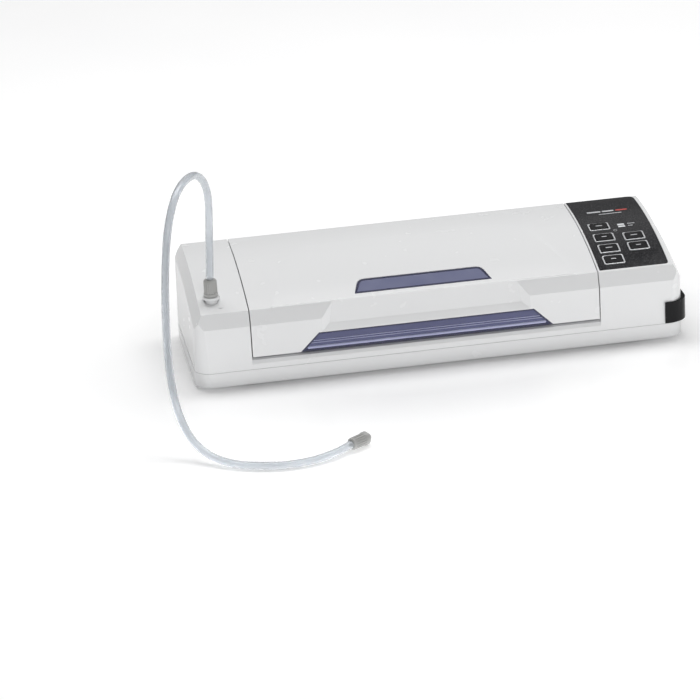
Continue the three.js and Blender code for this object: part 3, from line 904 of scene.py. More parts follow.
def smoothed(obj: bpy.types.Object, angle: float = 32.0) -> None:
    """Shades a piece smooth, with its large faces kept flat beside small ones.

    Args:
        obj: the piece.
        angle: the angle in degrees over which an edge stays sharp.
    """
    only(obj)
    bpy.ops.object.shade_smooth_by_angle(angle=math.radians(angle))
    weighted = obj.modifiers.new("weighted_normals", "WEIGHTED_NORMAL")
    weighted.keep_sharp = True
    weighted.weight = 80
    bpy.ops.object.modifier_apply(modifier=weighted.name)


def dressed(
    obj: bpy.types.Object, material: bpy.types.Material, body: str
) -> bpy.types.Object:
    """Gives a finished piece its material and the body it rides on.

    Args:
        obj: the piece.
        material: its finish.
        body: the name of its body.

    Returns:
        The piece.
    """
    obj.data.materials.clear()
    obj.data.materials.append(material)
    for face in obj.data.polygons:
        face.material_index = 0
    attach(obj, body)
    return obj


def coloured(node: str, material: bpy.types.Material) -> None:
    """Gives a CAD node that stays as it is its finish.

    Args:
        node: the CAD node.
        material: its finish.
    """
    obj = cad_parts[node]
    for place in obj.material_slots:
        place.material = material
    if not obj.material_slots:
        obj.data.materials.append(material)


def placed(obj: bpy.types.Object, matrix: Matrix) -> None:
    """Moves a piece by its mesh, so that its object stays at the origin."""
    obj.data.transform(matrix)
    obj.data.update()


# ---------------------------------------------------------------- shared surfaces of the casing


@dataclass(frozen=True)
class TopSurface:
    """The gently domed top of the casing, from its front crease to its rear ridge."""

    front_y: float = -69.2 * MM
    front_z: float = 72.0 * MM
    rear_y: float = 67.0 * MM
    rear_z: float = 93.0 * MM
    bulge: float = 6.3 * MM

    def height(self, y: float) -> float:
        """The top's height at a place between front and rear."""
        s = (y - self.front_y) / (self.rear_y - self.front_y)
        return self.front_z + (self.rear_z - self.front_z) * s + 4 * self.bulge * s * (1 - s)

    def tilt(self, y: float) -> float:
        """The top's slope at a place, as an angle."""
        s = (y - self.front_y) / (self.rear_y - self.front_y)
        rise = self.rear_z - self.front_z + 4 * self.bulge * (1 - 2 * s)
        return math.atan2(rise, self.rear_y - self.front_y)

    def seat(self, x: float, y: float, lift: float = 0.0) -> Matrix:
        """The place and turn of something that lies on the top.

        Args:
            x: where it is across the casing.
            y: where it is from front to rear.
            lift: how far it stands off the surface.

        Returns:
            The matrix from flat at the origin to that seat.
        """
        turn = Matrix.Rotation(self.tilt(y), 4, "X")
        return Matrix.Translation((x, y, self.height(y))) @ turn @ Matrix.Translation((0, 0, lift))

    def on_outline(self, point: Vector, slack: float = 0.4 * MM) -> bool:
        """Whether a point lies on the domed top."""
        return abs(point.z - self.height(point.y)) < slack


TOP = TopSurface()


# ---------------------------------------------------------------- studio


@dataclass(frozen=True)
class Softbox:
    """One rectangular light."""

    name: str
    place: Point
    aim: Point
    size: tuple[float, float]
    power: float


class Studio:
    """The camera, the pale floor and the soft lights."""

    target: Point = (-0.0764, -0.004, -0.0033)
    distance: float = 3.0227
    azimuth: float = -0.14783
    elevation: float = 0.38039
    roll: float = 0.05584
    lens: float = 167.16
    sensor: float = 36.0
    boxes: tuple[Softbox, ...] = (
        Softbox("overhead_box", (0.1, 0.55, 2.27), (0.0, 0.0, 0.05), (2.6, 0.9), 42.0),
        Softbox("rear_box", (0.2, 3.0, 2.5), (0.1, 0.0, 0.05), (3.0, 1.4), 4.5),
        Softbox("front_box", (0.31, -2.1, 1.51), (0.0, 0.0, 0.05), (1.3, 0.5), 9.0),
        Softbox("right_box", (2.4, -0.4, 0.9), (0.1, 0.0, 0.05), (1.2, 1.2), 4.0),
        Softbox("table_light", (0.05, -0.26, 0.0003), (0.05, -0.26, 1.0), (1.4, 0.35), 0.8),
    )
    # The floor's glow is dimmed near the sealer as a painted shadow.
    painted_shadow_reach: Point = (0.36, 0.25, 1.0)
    painted_shadow_glow: float = 0.08
    glow_far: float = 0.33
    surroundings: float = 0.2

    def camera(self) -> bpy.types.Object:
        """Adds the camera and makes it the scene's own.

        Returns:
            The camera.
        """
        data = bpy.data.cameras.new("studio_camera")
        data.lens = self.lens
        data.sensor_width = self.sensor
        data.clip_end = 50.0
        camera = linked("studio_camera", data)
        side, level = math.sin(self.azimuth), math.cos(self.azimuth)
        reach = self.distance * math.cos(self.elevation)
        offset = Vector((side * reach, -level * reach, self.distance * math.sin(self.elevation)))
        turn = (
            Matrix.Rotation(self.azimuth, 4, "Z")
            @ Matrix.Rotation(math.pi / 2 - self.elevation, 4, "X")
            @ Matrix.Rotation(-self.roll, 4, "Z")
        )
        camera.matrix_world = Matrix.Translation(Vector(self.target) + offset) @ turn
        bpy.context.scene.camera = camera
        return camera

    def floor(self) -> bpy.types.Object:
        """Adds the pale floor, which glows a little and more so away from the sealer; the dimmer
        glow near the sealer paints a shadow on the floor round it.

        Returns:
            The floor.
        """
        bpy.ops.object.select_all(action="DESELECT")
        bpy.ops.mesh.primitive_plane_add(size=24.0, location=(0.0, 0.0, 0.0))
        floor = added("studio_floor")
        graph = ShaderGraph("pale_floor")
        graph.drive(
            "Base Color",
            graph.ramp(graph.noise(3.0), [(0.3, (0.86, 0.86, 0.865)), (0.7, (0.9, 0.9, 0.9))]),
        )
        graph.plain(Roughness=0.32, Emission_Color=(1.0, 1.0, 1.0, 1.0))
        # Emission falls towards the sealer: a painted shadow on the floor round it.
        x, y, z = self.painted_shadow_reach
        nearness = graph.nearness(graph.stretched((1 / x, 1 / y, 1 / z)))
        graph.drive(
            "Emission Strength",
            graph.between(nearness, self.glow_far, self.painted_shadow_glow, (0.0, 0.45)),
        )
        floor.data.materials.append(graph.material)
        floor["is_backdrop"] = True
        return floor

    def lights(self) -> None:
        """Adds the softboxes and the dim surroundings."""
        for box in self.boxes:
            data = bpy.data.lights.new(box.name, "AREA")
            data.shape = "RECTANGLE"
            data.size, data.size_y = box.size
            data.energy = box.power
            light = linked(box.name, data)
            aim = Vector(box.aim) - Vector(box.place)
            light.location = box.place
            light.rotation_euler = aim.to_track_quat("-Z", "Y").to_euler()
            light.visible_camera = False
        world = bpy.data.worlds.new("studio_world")
        world.use_nodes = True
        background = world.node_tree.nodes["Background"]
        background.inputs["Color"].default_value = (1.0, 1.0, 1.0, 1.0)
        background.inputs["Strength"].default_value = self.surroundings
        bpy.context.scene.world = world
        bpy.context.scene.view_settings.view_transform = "Standard"

    def build(self) -> None:
        """Sets the studio up."""
        self.camera()
        self.floor()
        self.lights()


# ---------------------------------------------------------------- suction hose


@dataclass
class SuctionHose:
    """The clear hose with its plug in the port and its connector on the free end."""

    finishes: Finishes
    radius: float = 3.5 * MM
    wall: float = 1.0 * MM
    gap: float = 0.3 * MM
    port_height: float = 5.0 * MM
    port_x: float = -207.0 * MM
    port_y: float = -50.0 * MM
    route: tuple[Point, ...] = (
        (-0.2070, -0.0500, 0.0990),
        (-0.2060, -0.0500, 0.1160),
        (-0.2050, -0.0505, 0.1370),
        (-0.2042, -0.0530, 0.1570),
        (-0.2042, -0.0585, 0.1760),
        (-0.2068, -0.0685, 0.1930),
        (-0.2125, -0.0815, 0.2060),
        (-0.2205, -0.0980, 0.2140),
        (-0.2300, -0.1160, 0.2155),
        (-0.2388, -0.1320, 0.2110),
        (-0.2463, -0.1470, 0.2000),
        (-0.2520, -0.1585, 0.1840),
        (-0.2560, -0.1670, 0.1630),
        (-0.2590, -0.1740, 0.1380),
        (-0.2610, -0.1800, 0.1120),
        (-0.2620, -0.1860, 0.0860),
        (-0.2615, -0.1930, 0.0610),
        (-0.2585, -0.2035, 0.0380),
        (-0.2510, -0.2180, 0.0195),
        (-0.2380, -0.2350, 0.0085),
        (-0.2190, -0.2505, 0.0043),
        (-0.1960, -0.2610, 0.0039),
        (-0.1720, -0.2650, 0.0039),
        (-0.1500, -0.2620, 0.0042),
        (-0.1310, -0.2540, 0.0052),
        (-0.1160, -0.2435, 0.0063),
    )
    steps: int = 8

    def centreline(self) -> list[Vector]:
        """The hose's smooth centreline, through every point of its route.

        Returns:
            The points of the line.
        """
        knots = [Vector(p) for p in self.route]
        knots = [2 * knots[0] - knots[1], *knots, 2 * knots[-1] - knots[-2]]
        line = []
        for a, b, c, d in zip(knots, knots[1:], knots[2:], knots[3:]):
            for i in range(self.steps):
                t = i / self.steps
                line.append(
                    0.5
                    * (
                        2 * b
                        + (c - a) * t
                        + (2 * a - 5 * b + 4 * c - d) * t**2
                        + (3 * b - a - 3 * c + d) * t**3
                    )
                )
        return [*line, knots[-2]]

    def tube(self, fittings: Sequence[bpy.types.Object]) -> None:
        """Args:
            fittings: the pieces on the hose; not used.
        """
        line = self.centreline()
        curve = bpy.data.curves.new("hose_tube", "CURVE")
        curve.dimensions = "3D"
        curve.bevel_depth = self.radius
        curve.bevel_resolution = 5
        spline = curve.splines.new("POLY")
        spline.points.add(len(line) - 1)
        for point, at in zip(spline.points, line):
            point.co = (*at, 1.0)
        obj = linked("hose_tube", curve)
        only(obj)
        bpy.ops.object.convert(target="MESH")
        obj = bpy.context.active_object
        bpy.ops.object.mode_set(mode="EDIT")
        bpy.ops.mesh.select_all(action="SELECT")
        bpy.ops.mesh.remove_doubles(threshold=0.001 * MM)
        bpy.ops.mesh.normals_make_consistent(inside=False)
        bpy.ops.object.mode_set(mode="OBJECT")
        thickened(obj, self.wall, -1.0)
        smoothed(obj, 50.0)
        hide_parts("hose")
        dressed(obj, self.finishes["tube"], Body.BASE.value)

    def plug(self) -> bpy.types.Object:
        """The grey fluted plug that holds the hose in the port.

        Returns:
            The finished plug.
        """
        top = TOP.height(self.port_y)
        seat = top + self.port_height
        end = self.route[0][2] - self.gap
        profile = [
            (0.0, top - 3 * MM),
            (3.5 * MM, top - 3 * MM),
            (3.5 * MM, seat),
            (6.3 * MM, seat),
            (6.5 * MM, seat + 0.4 * MM),
            (6.5 * MM, seat + 2.6 * MM),
            (6.1 * MM, seat + 3.0 * MM),
            (6.0 * MM, end - 1.6 * MM),
            (5.2 * MM, end - 0.4 * MM),
            (4.4 * MM, end),
            (0.0, end),
        ]
        obj = turned("hose_plug_ribbed", profile)
        grip = flutes(seat + 3.0 * MM, end - 1.6 * MM, 0.3)
        inset_faces(obj, grip, 0.12 * MM, -0.45 * MM, individual=True)
        smoothed(obj, 35.0)
        placed(obj, Matrix.Translation((self.port_x, self.port_y, 0.0)))
        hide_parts("hose_plug")
        return dressed(obj, self.finishes["grey"], Body.BASE.value)

    def connector(self) -> bpy.types.Object:
        """The fluted grey connector on the free end, with a collar.

        Returns:
            The finished connector.
        """
        profile = [
            (0.0, 0.4 * MM),
            (4.4 * MM, 0.4 * MM),
            (5.3 * MM, 1.2 * MM),
            (5.5 * MM, 2.4 * MM),
            (5.5 * MM, 14.6 * MM),
            (6.05 * MM, 15.4 * MM),
            (6.05 * MM, 18.4 * MM),
            (5.2 * MM, 19.2 * MM),
            (3.3 * MM, 19.4 * MM),
            (3.1 * MM, 22.0 * MM),
            (0.0, 22.0 * MM),
        ]
        obj = turned("hose_connector_fluted", profile)
        grip = flutes(2.4 * MM, 14.6 * MM, 0.2)
        inset_faces(obj, grip, 0.12 * MM, -0.6 * MM, individual=True)
        smoothed(obj, 35.0)
        last, before = Vector(self.route[-1]), Vector(self.route[-2])
        along = last - before
        along.z = 0.0
        turn = Vector((0, 0, 1)).rotation_difference(along.normalized()).to_matrix().to_4x4()
        placed(obj, Matrix.Translation(last) @ turn)
        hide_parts("hose_connector")
        return dressed(obj, self.finishes["grey"], Body.BASE.value)

    def port(self) -> None:
        """The white raised ring that the plug stands in."""
        obj = copy_of("accessory_port", "accessory_port_ring")
        eased(obj, 0.5 * MM, 3, 40.0)
        smoothed(obj, 25.0)
        dressed(obj, self.finishes["white"], Body.BASE.value)

    def build(self) -> None:
        """Builds the hose and all on it."""
        fittings = [self.plug(), self.connector()]
        self.tube(fittings)
        self.port()


# ---------------------------------------------------------------- casing


@dataclass
class Casing:
    """The white housing, its tray, feet and screws."""

    finishes: Finishes
    crease_width: float = 2.6 * MM
    edge_width: float = 0.7 * MM
    left_crease: float = -216.0 * MM
    right_crease: float = 215.6 * MM
    crease_slack: float = 1.2 * MM
    corner_width: float = 5.0 * MM
    corner_drop: float = 16.0 * MM
    corner_slack: float = 3.0 * MM
    screw_sides: int = 32

    def on_crease(self, edge: bmesh.types.BMEdge) -> bool:
        """Whether an edge of the housing is a crease between its top and a bevelled side.

        Args:
            edge: the edge.

        Returns:
            True for a crease.
        """
        a, b = (vertex.co for vertex in edge.verts)
        if edge.calc_face_angle(0.0) < CREASE_ANGLE:
            return False
        if not (TOP.on_outline(a) and TOP.on_outline(b)):
            return False
        middle = (a + b) / 2
        along_front = abs(middle.y - TOP.front_y) < self.crease_slack
        along_rear = abs(middle.y - TOP.rear_y) < self.crease_slack
        at_end = middle.x < self.left_crease or middle.x > self.right_crease
        return along_front or along_rear or at_end

    def on_corner(self, edge: bmesh.types.BMEdge) -> bool:
        """Whether an edge falls from the top's front right corner to the wall.

        Args:
            edge: the edge.

        Returns:
            True for such an edge.
        """
        low, high = sorted((vertex.co for vertex in edge.verts), key=lambda co: co.z)
        lowest, highest = TOP.front_z - self.corner_drop, TOP.front_z + self.corner_slack
        in_band = lowest < low.z and high.z < highest
        at_corner = high.x > self.right_crease and high.y < TOP.front_y + self.crease_slack
        return in_band and at_corner and high.z - low.z > self.corner_slack

    def housing(self) -> None:
        """The upper housing with its soft creases."""
        obj = copy_of("upper_housing", "housing_shell")
        bevel_edges(obj, self.on_corner, self.corner_width, 6)
        bevel_edges(obj, self.on_crease, self.crease_width, 5)
        eased(obj, self.edge_width, 2, 34.0)
        smoothed(obj, 14.0)
        dressed(obj, self.finishes["white"], Body.BASE.value)

    def tray(self) -> None:
        """The tray under the housing."""
        obj = copy_of("base_tray", "base_tray_shell")
        eased(obj, 0.5 * MM, 2, 34.0)
        smoothed(obj, 14.0)
        dressed(obj, self.finishes["white"], Body.BASE.value)

    def feet(self) -> None:
        """Four rubber feet, each with rings in its sole."""
        profile = [
            (0.0, 0.35 * MM),
            (2.0 * MM, 0.35 * MM),
            (2.3 * MM, 0.0),
            (3.6 * MM, 0.0),
            (3.9 * MM, 0.35 * MM),
            (4.9 * MM, 0.35 * MM),
            (5.2 * MM, 0.0),
            (7.0 * MM, 0.0),
            (7.6 * MM, 0.3 * MM),
            (8.0 * MM, 1.0 * MM),
            (8.0 * MM, 2.7 * MM),
            (0.0, 2.7 * MM),
        ]
        for name in CORNERS:
            obj = turned(f"rubber_foot_{name}", profile, 40)
            smoothed(obj)
            placed(obj, under(f"foot_{name}"))
            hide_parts(f"foot_{name}")
            dressed(obj, self.finishes["rubber"], Body.BASE.value)

    def in_slot(self, face: bmesh.types.BMFace) -> bool:
        """Whether a face of a screw's head is part of its cross slot.

        Args:
            face: the face.

        Returns:
            True for a face of the slot.
        """
        in_head = face.normal.z < -0.9 and face.calc_center_median().z < 3.7 * MM
        return in_head and step_round(face, self.screw_sides) % 8 < 2

    def screws(self) -> None:
        """Four screws with cross slots in their heads, up inside the tray."""
        profile = [
            (0.0, 3.6 * MM),
            (2.9 * MM, 3.6 * MM),
            (3.4 * MM, 4.1 * MM),
            (3.4 * MM, 6.2 * MM),
            (1.5 * MM, 6.2 * MM),
            (1.5 * MM, 23.4 * MM),
            (0.9 * MM, 24.0 * MM),
            (0.0, 24.0 * MM),
        ]
        for name in CORNERS:
            obj = turned(f"casing_screw_{name}", profile, self.screw_sides)
            inset_faces(obj, self.in_slot, 0.15 * MM, -0.9 * MM)
            smoothed(obj)
            placed(obj, under(f"housing_screw_{name}"))
            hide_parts(f"housing_screw_{name}")
            dressed(obj, self.finishes["steel"], Body.BASE.value)

    def build(self) -> None:
        """Builds the casing."""
        self.housing()
        self.tray()
        self.feet()
        self.screws()


# ---------------------------------------------------------------- lid


@dataclass
class Lid:
    """The hinged lid: its white cover, its indigo inner shell and the pressing strips."""

    finishes: Finishes
    crease_width: float = 2.2 * MM
    crease_slack: float = 1.2 * MM
    edge_width: float = 0.6 * MM
    middle_x: float = -14.85 * MM
    front_y: float = -75.0 * MM
    foot_z: float = 3.0 * MM
    draft: float = 0.02
    window_bottom: float = 28.7 * MM
    window_top: float = 45.3 * MM
    window_half_low: float = 116.5 * MM
    window_half_top: float = 99.3 * MM
    rib_heights: tuple[float, ...] = (36.0 * MM, 38.0 * MM)
    rib_radius: float = 0.32 * MM
    rib_sink: float = 0.45 * MM
    lip_rise: float = 2.9 * MM
    lip_radius: float = 1.5 * MM
    lip_sink: float = 1.3 * MM
    bead_inset: float = 1.6 * MM
    border_thickness: float = 0.5 * MM
    lower_border: float = 1.5 * MM
    upper_border: float = 1.7 * MM
    pane_thickness: float = 0.5 * MM
    pane_corner: float = 4.5 * MM
    pane_rear: float = -44.5 * MM
    pane_front: float = -64.0 * MM
    pane_half_rear: float = 57.2 * MM
    pane_half_front: float = 63.2 * MM
    plateau_rise: float = 1.6 * MM

    def on_crease(self, edge: bmesh.types.BMEdge) -> bool:
        """Whether an edge of the cover is a soft crease at the front or rear of its top.

        Args:
            edge: the edge.

        Returns:
            True for a crease.
        """
        a, b = (vertex.co for vertex in edge.verts)
        if edge.calc_face_angle(0.0) < CREASE_ANGLE:
            return False
        front = all(abs(end.y - TOP.front_y) < self.crease_slack for end in (a, b))
        rear = all(abs(end.y - TOP.rear_y) < self.crease_slack for end in (a, b))
        high = min(a.z, b.z) > TOP.front_z - 0.5 * MM
        return high and (front or rear)

    def cover(self) -> None:
        """The white cover with its plateau and windows."""
        obj = copy_of("lid_cover", "lid_cover_shell")
        bevel_edges(obj, self.on_crease, self.crease_width, 4)
        eased(obj, self.edge_width, 2, 34.0)
        smoothed(obj, 14.0)
        dressed(obj, self.finishes["white"], Body.LID.value)

    def inner_shell(self) -> None:
        """The indigo shell that shows in both windows."""
        obj = copy_of("lid_inner_shell", "lid_tinted_shell")
        eased(obj, 0.4 * MM, 2, 40.0)
        smoothed(obj, 14.0)
        dressed(obj, self.finishes["blue"], Body.LID.value)

    def face_y(self, z: float) -> float:
        """Where the lid's leaning front face is at a height."""
        return self.front_y + self.draft * (z - self.foot_z)

    def half_window(self, z: float) -> float:
        """Half the lower window's width at a height.

        Args:
            z: the height.

        Returns:
            The half width.
        """
        spread = (self.window_half_low - self.window_half_top) / (
            self.window_top - self.window_bottom
        )
        return self.window_half_low - spread * (z - self.window_bottom)

    def long_bead(
        self, name: str, z: float, radius: float, sink: float, finish: str
    ) -> None:
        """A long round bead across the lower window.

        Args:
            name: the piece's name.
            z: its height.
            radius: its radius.
            sink: how far its middle lies behind the lid's face.
            finish: the finish it has.
        """
        half = self.half_window(z) - self.bead_inset - radius
        bpy.ops.object.select_all(action="DESELECT")
        bpy.ops.mesh.primitive_cylinder_add(
            vertices=24,
            radius=radius,
            depth=2 * half,
            location=(self.middle_x, self.face_y(z) + sink, z),
            rotation=(0.0, math.pi / 2, 0.0),
        )
        obj = added(name)
        eased(obj, radius * 0.6, 3, 60.0)
        smoothed(obj)
        dressed(obj, self.finishes[finish], Body.LID.value)

    def border(
        self, name: str, outline: Sequence[tuple[float, float]], place: Matrix, width: float
    ) -> None:
        """A dark edge round a window: painted shade where the window sits back in its recess.
            place: the matrix from that plane to the window.
            width: the edge's width.
        """
        obj = plate(name, outline)
        bpy.ops.object.mode_set(mode="EDIT")
        bpy.ops.mesh.select_mode(type="FACE")
        bpy.ops.mesh.select_all(action="SELECT")
        bpy.ops.mesh.normals_make_consistent(inside=False)
        bpy.ops.mesh.inset(thickness=width, depth=0.0)
        bpy.ops.mesh.delete(type="FACE")
        bpy.ops.object.mode_set(mode="OBJECT")
        thickened(obj, self.border_thickness, 0.0)
        eased(obj, 0.1 * MM, 2, 50.0)
        smoothed(obj, 30.0)
        placed(obj, place)
        dressed(obj, self.finishes["navy"], Body.LID.value)

    def lower_window(self) -> None:
        """The lower window's dark edge, which is painted shade, and its two fine ribs and lip,
        made pale as painted highlight.
        """
        low, top = self.window_bottom, self.window_top
        outline = [
            (-self.half_window(low), low),
            (self.half_window(low), low),
            (self.half_window(top), top),
            (-self.half_window(top), top),
        ]
        lean = Matrix.Rotation(math.pi / 2 - self.draft, 4, "X")
        origin = Matrix.Translation((self.middle_x, self.face_y(0.0) + 0.3 * MM, 0.0))
        self.border("lower_window_shade_edge", outline, origin @ lean, self.lower_border)
        # The ribs and the lip take the pale rib finish, a painted highlight.
        for number, z in enumerate(self.rib_heights, 1):
            self.long_bead(f"window_rib_{number}", z, self.rib_radius, self.rib_sink, "rib")
        lip = low + self.lip_rise
        self.long_bead("window_lip", lip, self.lip_radius, self.lip_sink, "rib")

    def upper_window(self) -> None:
        """The dished pane, pale as painted light, and the dark painted-shade edge of the window in
        the plateau.
        """
        middle_y = (self.pane_rear + self.pane_front) / 2
        depth = self.pane_rear - self.pane_front
        corner = self.pane_corner
        rear, front = depth / 2, -depth / 2
        half_rear, half_front = self.pane_half_rear, self.pane_half_front
        outline = [
            (-half_front, front),
            (half_front, front),
            (half_rear + 0.6 * MM, rear - corner),
            (half_rear - 1.4 * MM, rear - 1.3 * MM),
            (half_rear - corner, rear),
            (-half_rear + corner, rear),
            (-half_rear + 1.4 * MM, rear - 1.3 * MM),
            (-half_rear - 0.6 * MM, rear - corner),
        ]
        seat = Matrix.Translation((self.middle_x, 0.0, 0.0)) @ TOP.seat(
            0.0, middle_y, self.plateau_rise - 0.1 * MM
        )
        self.border("upper_window_shade_edge", outline, seat, self.upper_border)
        obj = plate("upper_window_pane", outline)
        bpy.ops.object.mode_set(mode="EDIT")
        bpy.ops.mesh.select_mode(type="FACE")
        bpy.ops.mesh.select_all(action="SELECT")
        bpy.ops.mesh.inset(thickness=1.0 * MM, depth=0.0)
        bpy.ops.mesh.inset(thickness=3.0 * MM, depth=-0.25 * MM)
        bpy.ops.object.mode_set(mode="OBJECT")
        thickened(obj, self.pane_thickness, -1.0)
        smoothed(obj, 30.0)
        placed(obj, Matrix.Translation((0.0, 0.0, -0.05 * MM)) @ seat)
        # The pane's paler indigo is painted light.
        dressed(obj, self.finishes["pane"], Body.LID.value)

    def strips(self) -> None:
        """The upper gasket and the silicone strip that press on the bag."""
        for node, name, finish, slot in (
            ("upper_gasket", "upper_gasket_foam", "foam", Slot.FOAM),
            ("pressure_strip", "pressure_strip_silicone", "silicone", Slot.SILICONE),
        ):
            obj = copy_of(node, name)
            eased(obj, 0.4 * MM, 3, 40.0)
            smoothed(obj)
            dressed(obj, self.finishes[finish], Body.LID.value)

    def build(self) -> None:
        """Builds the lid."""
        self.cover()
        self.inner_shell()
        self.lower_window()
        self.upper_window()
        self.strips()


# ---------------------------------------------------------------- control panel


@dataclass(frozen=True)
class Mark:
    """A plain printed bar on the panel."""

    x: float
    y: float
    width: float
    depth: float
    accent: bool = False


@dataclass
class ControlPanel:
    """The black overlay with its framed keys, two lamps and plain printed marks."""

    finishes: Finishes
    keys: tuple[str, ...] = (
        "key_left_1",
        "key_left_2",
        "key_left_3",
        "key_left_4",
        "key_right_1",
        "key_right_2",
    )
    cap_proud: float = 1.7 * MM
    cap_depth: float = 6.0 * MM
    cap_corner: float = 1.6 * MM
    cap_length: float = 10.4 * MM
    cap_border: float = 0.9 * MM
    cap_slope: float = 0.4 * MM
    cap_dish: float = 0.12 * MM
    cap_mark_lengths: tuple[float, ...] = (6.2 * MM, 4.6 * MM)
    cap_mark_width: float = 1.0 * MM
    overlay_proud: float = 0.3 * MM
    frame_width: float = 19.6 * MM
    frame_length: float = 13.4 * MM
    frame_rim: float = 1.2 * MM
    frame_corner: float = 1.6 * MM
    frame_proud: float = 0.9 * MM
    frame_depth: float = 1.5 * MM
    mark_height: float = 0.12 * MM
    marks: tuple[Mark, ...] = (
        Mark(167.5 * MM, 33.2 * MM, 13.0 * MM, 2.6 * MM),
        Mark(181.0 * MM, 33.2 * MM, 11.0 * MM, 2.6 * MM),
        Mark(194.0 * MM, 33.2 * MM, 11.0 * MM, 2.6 * MM, True),
        Mark(182.0 * MM, 27.2 * MM, 22.0 * MM, 1.0 * MM),
        Mark(195.5 * MM, 2.6 * MM, 7.0 * MM, 0.9 * MM),
        Mark(194.2 * MM, -1.4 * MM, 4.5 * MM, 0.9 * MM),
    )

    def overlay(self) -> None:
        """The film over the right block."""
        obj = copy_of("control_panel", "panel_overlay", flat=0.0)
        smoothed(obj, 14.0)
        dressed(obj, self.finishes["film"], Body.BASE.value)

    def frames(self) -> None:
        """A satin chrome frame round each key."""
        for number, key in enumerate(self.keys):
            x, y = self.key_place(key)
            height = self.frame_proud + self.frame_depth
            obj = block(
                f"{key}_frame",
                (0.0, 0.0, self.frame_proud - height / 2),
                (self.frame_width, self.frame_length, height),
            )
            bevel_edges(obj, upright, self.frame_corner, 3)
            only(obj)
            bpy.ops.object.mode_set(mode="EDIT")
            bpy.ops.mesh.select_mode(type="FACE")
            bpy.ops.mesh.select_all(action="DESELECT")
            mesh = bmesh.from_edit_mesh(obj.data)
            for face in mesh.faces:
                face.select_set(abs(face.normal.z) > 0.9)
            bmesh.update_edit_mesh(obj.data)
            bpy.ops.mesh.delete(type="FACE")
            bpy.ops.object.mode_set(mode="OBJECT")
            thickened(obj, self.frame_rim, -1.0)
            eased(obj, 0.22 * MM, 2, 50.0)
            smoothed(obj, 30.0)
            placed(obj, TOP.seat(x, y))
            if number == 0:
                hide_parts("key_frame")
            dressed(obj, self.finishes["chrome"], Body.BASE.value)

    def lamps(self) -> None:
        """The two lamp lenses."""
        for node in ("led_lens_upper", "led_lens_lower"):
            obj = copy_of(node, f"{node}_dome")
            eased(obj, 0.3 * MM, 3, 45.0)
            smoothed(obj)
            dressed(obj, self.finishes["lens"], Body.BASE.value)

    def bar(self, name: str, mark: Mark, lift: float, slope_y: float) -> bpy.types.Object:
        """A thin printed bar, raised just enough to be a solid of its own.

        Args:
            name: the piece's name.
            mark: its place and size.
            lift: how high the surface under it stands over the top.
            slope_y: where the tilt of the surface under it is taken.

        Returns:
            The bar, not yet dressed.
        """
        obj = block(name, (0.0, 0.0, 0.0), (mark.width, mark.depth, self.mark_height))
        bevel_edges(obj, upright, min(mark.width, mark.depth) * 0.3, 3)
        smoothed(obj)
        seat = TOP.seat(mark.x, slope_y, lift)
        placed(obj, seat @ Matrix.Translation((0.0, mark.y - slope_y, 0.0)))
        return obj

    def caps(self) -> None:
        """One raised cap for each key, with a plain mark on it."""
        for number, key in enumerate(self.keys):
            low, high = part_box(key)
            x, y = self.key_place(key)
            height = self.cap_proud + self.cap_depth
            centre = (0.0, 0.0, self.cap_proud - height / 2)
            obj = block(f"{key}_cap", centre, (high.x - low.x, self.cap_length, height))
            bevel_edges(obj, upright, self.cap_corner, 4)
            inset_faces(obj, lambda face: face.normal.z > 0.9, self.cap_border, 0.0)
            inset_faces(obj, self.cap_middle_face, self.cap_slope, -self.cap_dish)
            eased(obj, 0.4 * MM, 3, 60.0)
            smoothed(obj, 40.0)
            placed(obj, TOP.seat(x, y))
            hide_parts(key)
            dressed(obj, self.finishes["key"], key)
            length = self.cap_mark_lengths[number % len(self.cap_mark_lengths)]
            surface = self.cap_proud - self.cap_dish + self.mark_height / 2
            mark = self.bar(f"{key}_mark", Mark(x, y, length, self.cap_mark_width), surface, y)
            dressed(mark, self.finishes["ink"], key)

    @staticmethod
    def at_middle(face: bmesh.types.BMFace) -> bool:
        """Whether a face's middle is near the vertical line through the origin."""
        middle = face.calc_center_median()
        return abs(middle.x) < MM and abs(middle.y) < MM

    def cap_middle_face(self, face: bmesh.types.BMFace) -> bool:
        """Whether a face is the middle of a cap's top."""
        return face.normal.z > 0.9 and self.at_middle(face)

    @staticmethod
    def key_place(key: str) -> tuple[float, float]:
        """Where a key's own axis meets the top.

        Args:
            key: the key's CAD node.

        Returns:
            The place across the casing and the place from front to rear.
        """
        low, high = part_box(key)
        middle = (low.y + high.y) / 2
        # A cap goes deeper than it stands proud, and leans with the top, so its box sits back.
        lean = 2.15 * MM * math.sin(TOP.tilt(middle))
        return (low.x + high.x) / 2, middle - lean

    def printing(self) -> None:
        """Plain bars and one small ring in place of the panel's printing."""
        for number, mark in enumerate(self.marks, 1):
            lift = self.overlay_proud + self.mark_height / 2
            obj = self.bar(f"panel_mark_{number}", mark, lift, mark.y)
            finish = "accent" if mark.accent else "ink"
            dressed(obj, self.finishes[finish], Body.BASE.value)
        bpy.ops.object.select_all(action="DESELECT")
        bpy.ops.mesh.primitive_torus_add(
            major_radius=1.6 * MM, minor_radius=0.18 * MM, major_segments=32, minor_segments=8
        )
        obj = added("panel_ring_mark")
        placed(obj, TOP.seat(178.2 * MM, -7.5 * MM, self.overlay_proud))
        smoothed(obj)
        dressed(obj, self.finishes["ink"], Body.BASE.value)

    def build(self) -> None:
        """Builds the panel."""
        self.overlay()
        self.frames()
        self.lamps()
        self.caps()
        self.printing()


# ---------------------------------------------------------------- deck, rear and inside


